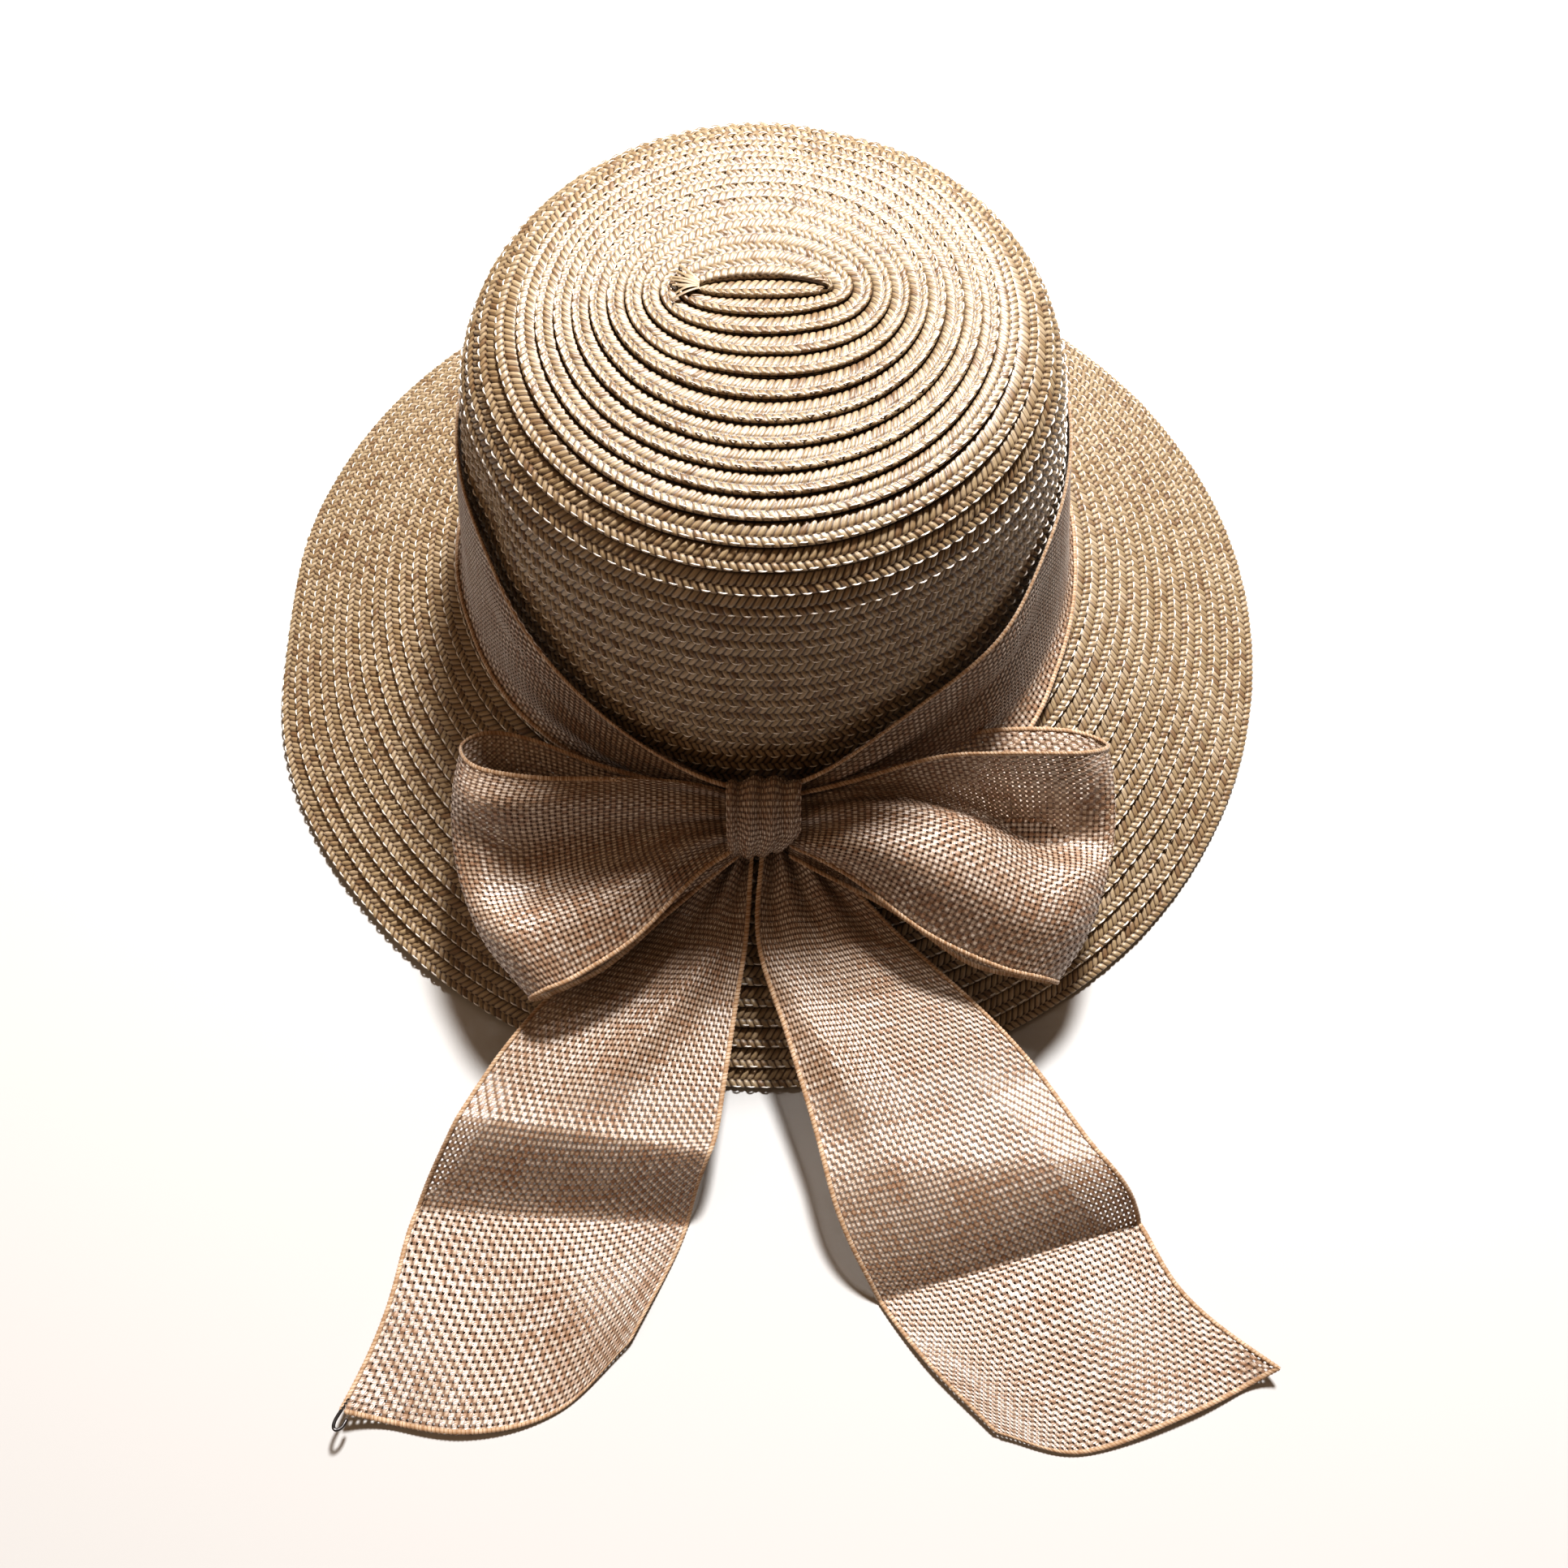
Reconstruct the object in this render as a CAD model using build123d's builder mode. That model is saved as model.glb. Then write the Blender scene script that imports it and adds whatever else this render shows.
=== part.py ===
from build123d import *
from math import cos, radians, sin
import os

# Sewn straw braid sun hat with a ribbon tied in a bow.
# Millimetres, +Z up. The origin is the centre of the rim plane: the hat stands on z = 0
# and the bow faces -Y.

# Straw body
CROWN_TOP_RADIUS = 63.0      # where the gentle dome turns into the shoulder
DOME_SLOPE = 15.7            # degrees, slope of the dome at the shoulder
SHOULDER_RADIUS = 30.0
WALL_LEAN = 7.4              # degrees from upright, the wall widens downwards
WALL_LENGTH = 76.0
NECK_RADIUS = 7.0            # the inside corner between the wall and the brim
BRIM_SLOPE = 37.0            # degrees below level
BRIM_LENGTH = 88.0           # from the neck to the rim, along the slope
RIM_LIFT = 1.6               # height of the rim's upper corner over the rim plane
BRAID_PITCH = 6.65           # spacing of the braid rows
LAP_STEP = 1.1               # how far each row stands over the next one
SHELL = 2.6                  # the straw at a lap, two braids thick
START_LENGTH = 35.0          # straight first length of the spiral at the centre of the crown

# Inside
SWEATBAND_HEIGHT = 26.0
SWEATBAND_THICKNESS = 1.0
INSIDE_GAP = 0.4

# Ribbon
RIBBON_WIDTH = 76.0
FABRIC = 1.2
EDGING_WIDTH = 2.0
EDGING_THICKNESS = 2.0
GATHERED_SHARE = 0.9         # of its width that the ribbon shows round the crown
RIBBON_GAP = 0.8             # between the ribbon and the straw under it
KNOT_HALF_WIDTH = 11.0
THREAD = 0.5

os.makedirs("parts", exist_ok=True)


def save(part, name):
    """Labels a finished piece and writes its STEP file."""
    part.label = name
    export_step(part, f"parts/{name}.step")


# ---------------------------------------------------------------- straw body, outer line

# The outer line of the straw is drawn from the crown's centre down to the rim. Its height is
# set at the end so that the rim lands on the rim plane.
dome_radius = CROWN_TOP_RADIUS / sin(radians(DOME_SLOPE))
wall_angle = 90.0 - WALL_LEAN


def draw_outer_line(top_height):
    """Dome, shoulder, wall, neck and brim as one smooth line of (radius, height) points."""
    with BuildLine() as line:
        dome = JernArc((0, top_height), (1, 0), dome_radius, -DOME_SLOPE)
        shoulder = JernArc(dome @ 1, dome % 1, SHOULDER_RADIUS, DOME_SLOPE - wall_angle)
        wall = PolarLine(shoulder @ 1, WALL_LENGTH, -wall_angle)
        neck = JernArc(wall @ 1, wall % 1, NECK_RADIUS, wall_angle - BRIM_SLOPE)
        PolarLine(neck @ 1, BRIM_LENGTH, -BRIM_SLOPE)
    crown_length = dome.length + shoulder.length + wall.length + neck.length / 2
    return line.wire(), crown_length


line_from_zero, crown_line_length = draw_outer_line(0)
hat_height = RIM_LIFT - (line_from_zero @ 1).Y
outer_line, crown_line_length = draw_outer_line(hat_height)
line_length = outer_line.length


def straw_point(distance, depth=0.0):
    """(radius, height) at a distance along the outer line, set in from it by depth."""
    share = distance / line_length
    place = outer_line @ share
    along = outer_line % share
    return (place.X + along.Y * depth, place.Y - along.X * depth)


# ---------------------------------------------------------------- straw body, lapped rows

crown_rows = round(crown_line_length / BRAID_PITCH)
crown_pitch = crown_line_length / crown_rows
brim_rows = round((line_length - crown_line_length) / BRAID_PITCH)
brim_pitch = (line_length - crown_line_length) / brim_rows
row_starts = [row * crown_pitch for row in range(crown_rows)]
row_starts += [crown_line_length + row * brim_pitch for row in range(brim_rows + 1)]


def lapped_outline(first_row, end_row):
    """Outline of a run of rows: each row rises to its outer edge and steps down to the next."""
    outer = []
    for row in range(first_row, end_row):
        outer.append(straw_point(row_starts[row], LAP_STEP))
        outer.append(straw_point(row_starts[row + 1]))
    inner = [straw_point(row_starts[row], SHELL) for row in range(end_row, first_row - 1, -1)]
    return outer + inner


def lapped_rows(first_row, end_row):
    """A ring of lapped braid rows."""
    with BuildPart() as ring:
        with BuildSketch(Plane.XZ):
            with BuildLine():
                Polyline(*lapped_outline(first_row, end_row), close=True)
            make_face()
        revolve(axis=Axis.Z)
    return ring.part


START_ROWS = 4               # oval rows round the straight first length
TIP_END_ROW = 10             # the last row on the dome
EDGE_ROW = crown_rows + brim_rows - 1

save(lapped_rows(START_ROWS, TIP_END_ROW), "crown_tip")
save(lapped_rows(TIP_END_ROW, crown_rows), "crown_side")
save(lapped_rows(crown_rows, EDGE_ROW), "brim")

# The last row is folded to a flat foot that the hat stands on.
rim_outer = straw_point(line_length)
rim_inner = straw_point(row_starts[EDGE_ROW], SHELL)
RIM_FOOT = 3.0
with BuildPart() as brim_edge:
    with BuildSketch(Plane.XZ):
        with BuildLine():
            Polyline(
                straw_point(row_starts[EDGE_ROW], LAP_STEP),
                rim_outer,
                (rim_outer[0], 0),
                (rim_outer[0] - RIM_FOOT, 0),
                rim_inner,
                close=True,
            )
        make_face()
    revolve(axis=Axis.Z)
save(brim_edge.part, "brim_edge")

# The centre of the crown: a straight length of braid folded beside itself, with oval rows
# round it that grow into the round rows of the tip.
start_radius = straw_point(row_starts[START_ROWS])[0]
slot_half_width = 0.5 * crown_pitch
slot_half_length = START_LENGTH / 2


def start_oval(row):
    """Half length and half width of the oval row edges at the centre of the crown."""
    share = row / START_ROWS
    half_length = slot_half_length + (start_radius - slot_half_length) * share
    half_width = slot_half_width + (start_radius - slot_half_width) * share
    return half_length, half_width


START_SINK = 0.35            # each oval row lies this much lower than the one inside it
START_GAP = 0.3
with BuildPart() as crown_start_rows:
    for row in range(START_ROWS):
        outer_oval = start_oval(row + 1)
        inner_oval = start_oval(row)
        with BuildSketch(Plane.XY.offset(hat_height - SHELL - START_SINK * row)):
            if row == START_ROWS - 1:
                Circle(start_radius - 2 * START_GAP)
            else:
                Ellipse(*outer_oval)
            Ellipse(*inner_oval, mode=Mode.SUBTRACT)
        extrude(amount=SHELL)
save(crown_start_rows.part, "crown_start_rows")

with BuildPart() as crown_start_strip:
    with BuildSketch(Plane.XY.offset(hat_height - SHELL)):
        Ellipse(slot_half_length - START_GAP, slot_half_width - START_GAP)
    extrude(amount=SHELL - LAP_STEP)
save(crown_start_strip.part, "crown_start_strip")

# The cut end of the braid, tucked over the first row on the left.
BRAID_END_LENGTH = 9.0
BRAID_END_WIDTH = 4.0
BRAID_END_ROUNDING = 1.2
BRAID_END_OVERHANG = 2.0     # past the end of the straight first length
BRAID_END_TURN = 20.0        # degrees
BRAID_END_LIFT = 0.1
BRAID_END_THICKNESS = 1.2
with BuildPart() as braid_start_end:
    with BuildSketch(Plane.XY.offset(hat_height + BRAID_END_LIFT)):
        with Locations((-slot_half_length - BRAID_END_OVERHANG, 0)):
            RectangleRounded(
                BRAID_END_LENGTH, BRAID_END_WIDTH, BRAID_END_ROUNDING, rotation=BRAID_END_TURN
            )
    extrude(amount=BRAID_END_THICKNESS)
save(braid_start_end.part, "braid_start_end")


# ---------------------------------------------------------------- straw body, sewing

def row_threads(rows):
    """The sewing thread at each row's edge, a thin ring in the step between two rows."""
    with BuildPart() as threads:
        for row in rows:
            radius, height = straw_point(row_starts[row] + THREAD, LAP_STEP - THREAD)
            with BuildSketch(Plane.XZ):
                with Locations((radius, height)):
                    Rectangle(THREAD, THREAD)
            revolve(axis=Axis.Z)
    return threads.part


save(row_threads(range(START_ROWS + 1, crown_rows)), "crown_stitching")
save(row_threads(range(crown_rows + 1, EDGE_ROW)), "brim_stitching")

# ---------------------------------------------------------------- sweatband

SWEATBAND_RISE = 6.0         # from its lower edge to the turn into the brim
sweatband_end = crown_line_length - SWEATBAND_RISE
sweatband_start = sweatband_end - SWEATBAND_HEIGHT
sweatband_back = SHELL + INSIDE_GAP
sweatband_face = sweatband_back + SWEATBAND_THICKNESS
with BuildPart() as sweatband:
    with BuildSketch(Plane.XZ):
        with BuildLine():
            Polyline(
                straw_point(sweatband_start, sweatband_back),
                straw_point(sweatband_end, sweatband_back),
                straw_point(sweatband_end, sweatband_face),
                straw_point(sweatband_start, sweatband_face),
                close=True,
            )
        make_face()
    revolve(axis=Axis.Z)
save(sweatband.part, "sweatband")

SWEATBAND_STITCHES = 48
STITCH_LENGTH = 5.0
STITCH_SET_IN = 3.0          # from the sweatband's lower edge
stitch_radius, stitch_height = straw_point(sweatband_end - STITCH_SET_IN, sweatband_face)
with BuildPart() as sweatband_stitching:
    with PolarLocations(stitch_radius - THREAD, SWEATBAND_STITCHES):
        with Locations((0, 0, stitch_height)):
            Box(THREAD, STITCH_LENGTH, THREAD)
save(sweatband_stitching.part, "sweatband_stitching")

# ---------------------------------------------------------------- ribbon round the crown

BAND_FRONT_TOP = 73.0        # the gathered ribbon's top edge behind the knot
BAND_FRONT_BOTTOM = 60.0
BAND_GATHER_END = -98.0      # in front of this the ribbon is fully gathered
BAND_BOTTOM_FROM = -80.0     # behind this its lower edge follows the brim
BAND_FULL_FROM = -48.0       # behind this its top edge is level
BAND_FOOT = 4.0              # from its lower edge to the turn into the brim
BAND_TRIM = 1.0              # the cutting outline stands this far over both edges
band_end = crown_line_length - BAND_FOOT
band_start = band_end - RIBBON_WIDTH * GATHERED_SHARE
CUT_REACH = 130.0            # beyond the ribbon to the front and back
CUT_WIDTH = 300.0


def band_ring(thickness):
    """A sleeve parallel to the wall, with no front cut yet."""
    with BuildPart() as ring:
        with BuildSketch(Plane.XZ):
            with BuildLine():
                Polyline(
                    straw_point(band_start, -RIBBON_GAP),
                    straw_point(band_end, -RIBBON_GAP),
                    straw_point(band_end, -RIBBON_GAP - thickness),
                    straw_point(band_start, -RIBBON_GAP - thickness),
                    close=True,
                )
            make_face()
        revolve(axis=Axis.Z)
    return ring.part


def band_side_view(inset):
    """Side view of the ribbon round the crown, gathered towards the knot in front."""
    top = straw_point(band_start, -RIBBON_GAP)[1] + BAND_TRIM - inset
    bottom = straw_point(band_end, -RIBBON_GAP)[1] - BAND_TRIM + inset
    with BuildSketch(Plane.YZ) as view:
        with BuildLine():
            Polyline(
                (-CUT_REACH, BAND_FRONT_BOTTOM + inset),
                (BAND_GATHER_END, BAND_FRONT_BOTTOM + inset),
                (BAND_BOTTOM_FROM, bottom),
                (CUT_REACH, bottom),
                (CUT_REACH, top),
                (BAND_FULL_FROM, top),
                (BAND_GATHER_END, BAND_FRONT_TOP - inset),
                (-CUT_REACH, BAND_FRONT_TOP - inset),
                close=True,
            )
        make_face()
    return view.sketch


with BuildPart() as ribbon_band:
    add(band_ring(FABRIC))
    extrude(band_side_view(EDGING_WIDTH), amount=CUT_WIDTH / 2, both=True, mode=Mode.INTERSECT)
save(ribbon_band.part, "ribbon_band")

with BuildPart() as ribbon_band_edging:
    add(band_ring(EDGING_THICKNESS))
    extrude(band_side_view(0), amount=CUT_WIDTH / 2, both=True, mode=Mode.INTERSECT)
    extrude(band_side_view(EDGING_WIDTH), amount=CUT_WIDTH / 2, both=True, mode=Mode.SUBTRACT)
save(ribbon_band_edging.part, "ribbon_band_edging")

# Tacks that hold the ribbon to the straw, at the back and on both sides.
TACK_LENGTH = 5.0
TACK_SPACING = 2.0
TACK_DIRECTIONS = (20, 90, 160)
tack_depth = -RIBBON_GAP - FABRIC - THREAD
tack_radius, tack_height = straw_point(band_end - RIBBON_WIDTH / 2, tack_depth)
with BuildPart() as ribbon_tacks:
    for direction in TACK_DIRECTIONS:
        with PolarLocations(tack_radius + THREAD, 1, start_angle=direction):
            with Locations((0, 0, tack_height), (0, TACK_SPACING, tack_height)):
                Box(THREAD, THREAD, TACK_LENGTH)
save(ribbon_tacks.part, "ribbon_tacks")

# ---------------------------------------------------------------- bow knot

# Side view of the knot as (y, z): its back follows the wall, its underside follows the brim.
KNOT_SIDE = [(-99, 59), (-98, 74), (-105, 78), (-114, 70), (-116, 59), (-112, 49.5), (-107, 51)]
KNOT_ROUNDING = 2.5
with BuildPart() as bow_knot:
    with BuildSketch(Plane.YZ):
        with BuildLine():
            Polyline(*KNOT_SIDE, close=True)
        make_face()
    extrude(amount=KNOT_HALF_WIDTH, both=True)
    fillet(bow_knot.edges(), KNOT_ROUNDING)
save(bow_knot.part, "bow_knot")

# ---------------------------------------------------------------- bow loops

KNOT_CENTRE = Vector(0, -106, 62)
LOOP_START = KNOT_HALF_WIDTH + 3.0
LOOP_END_RADIUS = 13.0       # half the height of the open end of a loop
LOOP_FRONT_RISE = 8.0        # how much the end of a loop stands over the line from the knot
LOOP_ROOT_HEIGHT = 6.0       # between the two layers of a loop where they enter the knot
LOOP_CROWNING = 1.0          # how much the outer layer dips halfway to the knot


def loop_frame(fold_top, fold_bottom):
    """Directions of a loop: outwards from the knot, down along its fold, and off the brim."""
    down = (fold_bottom - fold_top).normalized()
    to_fold = (fold_top + fold_bottom) * 0.5 - KNOT_CENTRE
    outward = (to_fold - down * to_fold.dot(down)).normalized()
    up = outward.cross(down)
    up = up if up.Z > 0 else up * -1
    return outward, down, up, to_fold.dot(outward)


def loop_tube(frame, thickness):
    """The ribbon of one loop: out from the knot, round the open end and back."""
    outward, down, up, reach = frame
    centre_x = reach - LOOP_END_RADIUS
    low = LOOP_FRONT_RISE - LOOP_END_RADIUS
    high = LOOP_FRONT_RISE + LOOP_END_RADIUS
    with BuildPart() as tube:
        section = Plane(origin=KNOT_CENTRE, x_dir=outward, z_dir=outward.cross(up))
        with BuildSketch(section):
            with BuildLine():
                Line((LOOP_START, 0), (centre_x, low))
                ThreePointArc((centre_x, low), (reach, LOOP_FRONT_RISE), (centre_x, high))
                middle = (centre_x / 2, high - LOOP_CROWNING)
                ThreePointArc((centre_x, high), middle, (LOOP_START, LOOP_ROOT_HEIGHT))
                Line((LOOP_START, LOOP_ROOT_HEIGHT), (LOOP_START, 0))
            make_face()
            offset(amount=-thickness, mode=Mode.SUBTRACT)
        extrude(amount=RIBBON_WIDTH, both=True)
    return tube.part


# Points on the two long edges of a loop seen face on: (share of the reach, share of the spread).
LOOP_UPPER_EDGE = (0.45, 0.5)
LOOP_LOWER_EDGE = (0.6, 0.85)
LOOP_ROOT_HALF_WIDTH = 12.0


def loop_face_view(frame, fold_top, fold_bottom, inset):
    """The loop seen face on: pinched at the knot and spread out to its fold."""
    outward, down, up, reach = frame
    top_y = (fold_top - KNOT_CENTRE).dot(down) + inset
    bottom_y = (fold_bottom - KNOT_CENTRE).dot(down) - inset
    pinch = LOOP_ROOT_HALF_WIDTH - inset
    side = Plane(origin=KNOT_CENTRE, x_dir=outward, z_dir=outward.cross(down))
    with BuildSketch(side) as view:
        with BuildLine():
            Polyline(
                (0, -pinch),
                (LOOP_START, -pinch),
                (LOOP_UPPER_EDGE[0] * reach, LOOP_UPPER_EDGE[1] * top_y),
                (reach + FABRIC, top_y),
                (reach + FABRIC, bottom_y),
                (LOOP_LOWER_EDGE[0] * reach, LOOP_LOWER_EDGE[1] * bottom_y),
                (LOOP_START, pinch),
                (0, pinch),
                close=True,
            )
        make_face()
    return view.sketch


LOOP_FOLDS = {
    "left": (Vector(-95, -76, 56), Vector(-74, -147, 28)),
    "right": (Vector(102, -77, 56), Vector(84, -144, 28)),
}
for side, (fold_top, fold_bottom) in LOOP_FOLDS.items():
    frame = loop_frame(fold_top, fold_bottom)
    panel_view = loop_face_view(frame, fold_top, fold_bottom, EDGING_WIDTH)
    whole_view = loop_face_view(frame, fold_top, fold_bottom, 0)
    with BuildPart() as bow_loop:
        add(loop_tube(frame, FABRIC))
        extrude(panel_view, amount=RIBBON_WIDTH, both=True, mode=Mode.INTERSECT)
    save(bow_loop.part, f"bow_loop_{side}")
    with BuildPart() as loop_edging:
        add(loop_tube(frame, EDGING_THICKNESS))
        extrude(whole_view, amount=RIBBON_WIDTH, both=True, mode=Mode.INTERSECT)
        extrude(panel_view, amount=RIBBON_WIDTH, both=True, mode=Mode.SUBTRACT)
    save(loop_edging.part, f"loop_{side}_edging")

# ---------------------------------------------------------------- bow tails

# A tail lies down the brim and over the rim onto the surface that the hat stands on.
TAIL_START = crown_line_length + 19.0
TAIL_REACH = 330.0           # radius of the sheet that the tails are cut from
TAIL_LIFT = 0.5              # over the surface
LANDING_RADIUS = 16.0


def tail_side_line(height):
    """Side line of a tail at a height over its underside, added to the line being drawn."""
    start = straw_point(TAIL_START, -RIBBON_GAP - height)
    bend_radius = LANDING_RADIUS - height
    landing_drop = bend_radius * (1 - cos(radians(BRIM_SLOPE)))
    slope_drop = start[1] - TAIL_LIFT - height - landing_drop
    slope = PolarLine(start, slope_drop / sin(radians(BRIM_SLOPE)), -BRIM_SLOPE)
    landing = JernArc(slope @ 1, slope % 1, bend_radius, BRIM_SLOPE)
    flat = Line(landing @ 1, (TAIL_REACH, TAIL_LIFT + height))
    return slope @ 0, flat @ 1


def tail_layer(thickness):
    """A conical sheet over the brim that levels out past the rim."""
    with BuildPart() as layer:
        with BuildSketch(Plane.XZ):
            with BuildLine():
                lower_start, lower_end = tail_side_line(0)
                upper_start, upper_end = tail_side_line(thickness)
                Line(lower_start, upper_start)
                Line(lower_end, upper_end)
            make_face()
        revolve(axis=Axis.Z)
    return layer.part


# Plan views of the tails as (x, y): down the left edge from the knot, across the slanted end,
# and back up the right edge.
LEFT_TAIL = {
    "left_edge": [(-13, -108), (-34, -122), (-70, -146), (-93, -174), (-104, -208), (-118, -264)],
    "end": [(-118, -264), (-84, -268), (-56, -262), (-36, -242)],
    "right_edge": [(-36, -242), (-20, -200), (-9, -160), (-2, -108)],
}
RIGHT_TAIL = {
    "left_edge": [(2, -108), (11, -162), (25, -216), (42, -246), (66, -268)],
    "end": [(66, -268), (89, -273), (120, -262), (146, -250)],
    "right_edge": [(146, -250), (125, -232), (99, -186), (78, -153), (42, -128), (13, -108)],
}


def moved_inwards(points, inset):
    """Corners of a closed outline, given anticlockwise, each moved inwards by inset."""
    moved = []
    for index, point in enumerate(points):
        here = Vector(*point)
        arriving = (here - Vector(*points[index - 1])).normalized().rotate(Axis.Z, 90)
        leaving = (Vector(*points[(index + 1) % len(points)]) - here).normalized().rotate(Axis.Z, 90)
        moved.append(here + (arriving + leaving) * (inset / (1 + arriving.dot(leaving))))
    return moved


def tail_plan(edges, inset):
    """Plan view of a tail, drawn in by inset along its two long edges and its end."""
    left, end, right = edges["left_edge"], edges["end"], edges["right_edge"]
    points = moved_inwards(left[:-1] + end[:-1] + right, inset)
    first_corner = len(left) - 1
    second_corner = first_corner + len(end) - 1
    with BuildSketch() as plan:
        with BuildLine():
            Spline(*points[: first_corner + 1])
            Spline(*points[first_corner : second_corner + 1])
            Spline(*points[second_corner:])
            Line(points[-1], points[0])
        make_face()
    return plan.sketch


def tail_piece(edges, thickness, inset):
    """The part of the conical sheet inside the plan view of a tail."""
    with BuildPart() as piece:
        extrude(tail_plan(edges, inset), amount=hat_height)
        add(tail_layer(thickness), mode=Mode.INTERSECT)
    return piece.part


for side, edges in {"left": LEFT_TAIL, "right": RIGHT_TAIL}.items():
    save(tail_piece(edges, FABRIC, EDGING_WIDTH), f"bow_tail_{side}")
    with BuildPart() as tail_edging:
        add(tail_piece(edges, EDGING_THICKNESS, 0))
        extrude(tail_plan(edges, EDGING_WIDTH), amount=hat_height, mode=Mode.SUBTRACT)
    save(tail_edging.part, f"tail_{side}_edging")

# The bare end of the wire that runs in the edging, at the tip of the left tail.
WIRE_RADIUS = 0.6
WIRE_END_LENGTH = 7.0
WIRE_DIRECTION = (-1, -0.35, 0)
WIRE_HEIGHT = 1.4
wire_tip_x, wire_tip_y = LEFT_TAIL["left_edge"][-1]
with BuildPart() as tail_wire_end:
    wire_start = (wire_tip_x + FABRIC, wire_tip_y - FABRIC, WIRE_HEIGHT)
    with BuildSketch(Plane(origin=wire_start, z_dir=WIRE_DIRECTION)):
        Circle(WIRE_RADIUS)
    extrude(amount=WIRE_END_LENGTH)
save(tail_wire_end.part, "tail_wire_end")
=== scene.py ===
import math
import bmesh
import bpy
import numpy as np
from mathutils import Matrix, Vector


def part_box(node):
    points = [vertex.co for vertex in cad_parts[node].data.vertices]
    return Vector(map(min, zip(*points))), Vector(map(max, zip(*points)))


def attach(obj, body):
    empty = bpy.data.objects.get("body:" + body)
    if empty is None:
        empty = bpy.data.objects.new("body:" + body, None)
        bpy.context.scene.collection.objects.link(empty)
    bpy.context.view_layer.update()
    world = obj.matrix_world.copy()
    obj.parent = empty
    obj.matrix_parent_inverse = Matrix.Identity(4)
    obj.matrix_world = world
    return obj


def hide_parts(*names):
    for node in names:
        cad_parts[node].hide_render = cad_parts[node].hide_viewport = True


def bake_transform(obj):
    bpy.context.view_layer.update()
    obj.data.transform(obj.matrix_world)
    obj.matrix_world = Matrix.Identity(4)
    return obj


# Sewn straw braid sun hat with a ribbon tied in a bow. Shapes are worked out in millimetres in
# the frame of the CAD model and become metres when a mesh is made.
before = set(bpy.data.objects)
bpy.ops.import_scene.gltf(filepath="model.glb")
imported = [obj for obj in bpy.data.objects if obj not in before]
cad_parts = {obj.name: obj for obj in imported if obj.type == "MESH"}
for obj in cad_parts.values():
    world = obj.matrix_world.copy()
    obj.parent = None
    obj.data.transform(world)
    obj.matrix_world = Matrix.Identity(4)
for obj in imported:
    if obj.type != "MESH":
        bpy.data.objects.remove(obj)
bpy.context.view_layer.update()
MM = 0.001
noise = np.random.default_rng(7)


# ---- meshes

PATTERN_UV = "pattern"       # the UV map that the materials' patterns follow


def make_piece(name, grid, body, node, material):
    """A mesh piece that replaces a CAD node, from its points in millimetres, faces and UVs."""
    points, faces, uv = grid
    mesh = bpy.data.meshes.new(name)
    mesh.from_pydata((points * MM).tolist(), [], faces.tolist())
    layer = mesh.uv_layers.new(name=PATTERN_UV)
    corners = np.empty(len(mesh.loops), dtype=np.int32)
    mesh.loops.foreach_get("vertex_index", corners)
    layer.data.foreach_set("uv", uv[corners].astype(np.float32).ravel())
    mesh.polygons.foreach_set("use_smooth", np.ones(len(mesh.polygons), dtype=bool))
    mesh.materials.append(material)
    mesh.update()
    piece = bpy.data.objects.new(name, mesh)
    bpy.context.scene.collection.objects.link(piece)
    if body == "hat":
        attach(piece, body)
    else:
        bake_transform(piece)
    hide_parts(node)
    return piece


def weld(piece):
    """Joins the points of a piece that lie together; its UVs stay as they are."""
    mesh = bmesh.new()
    mesh.from_mesh(piece.data)
    bmesh.ops.remove_doubles(mesh, verts=mesh.verts, dist=1e-6)
    mesh.to_mesh(piece.data)
    mesh.free()


def as_grid(points, u, v):
    """A grid of points with the quads between them and its UVs, as (points, faces, uv)."""
    rows, columns = points.shape[:2]
    here = np.arange(rows - 1)[:, None] * columns + np.arange(columns - 1)
    there = here + columns
    quads = np.stack([here, there, there + 1, here + 1], axis=-1)
    uv = np.stack(np.broadcast_arrays(u, v), axis=-1)
    return points.reshape(-1, 3), quads.reshape(-1, 4), uv.reshape(-1, 2)


def run_length(path):
    """How far along a path of points each of them is."""
    steps = np.linalg.norm(np.diff(path, axis=0), axis=1)
    return np.concatenate([[0.0], np.cumsum(steps)])


def join_grids(parts):
    """Points, faces and UVs of several (points, faces, uv) sets as one."""
    points, faces, uvs, count = [], [], [], 0
    for part_points, part_faces, part_uv in parts:
        points.append(part_points)
        faces.append(part_faces + count)
        uvs.append(part_uv)
        count += len(part_points)
    return np.concatenate(points), np.concatenate(faces), np.concatenate(uvs)


# ---- materials

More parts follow.
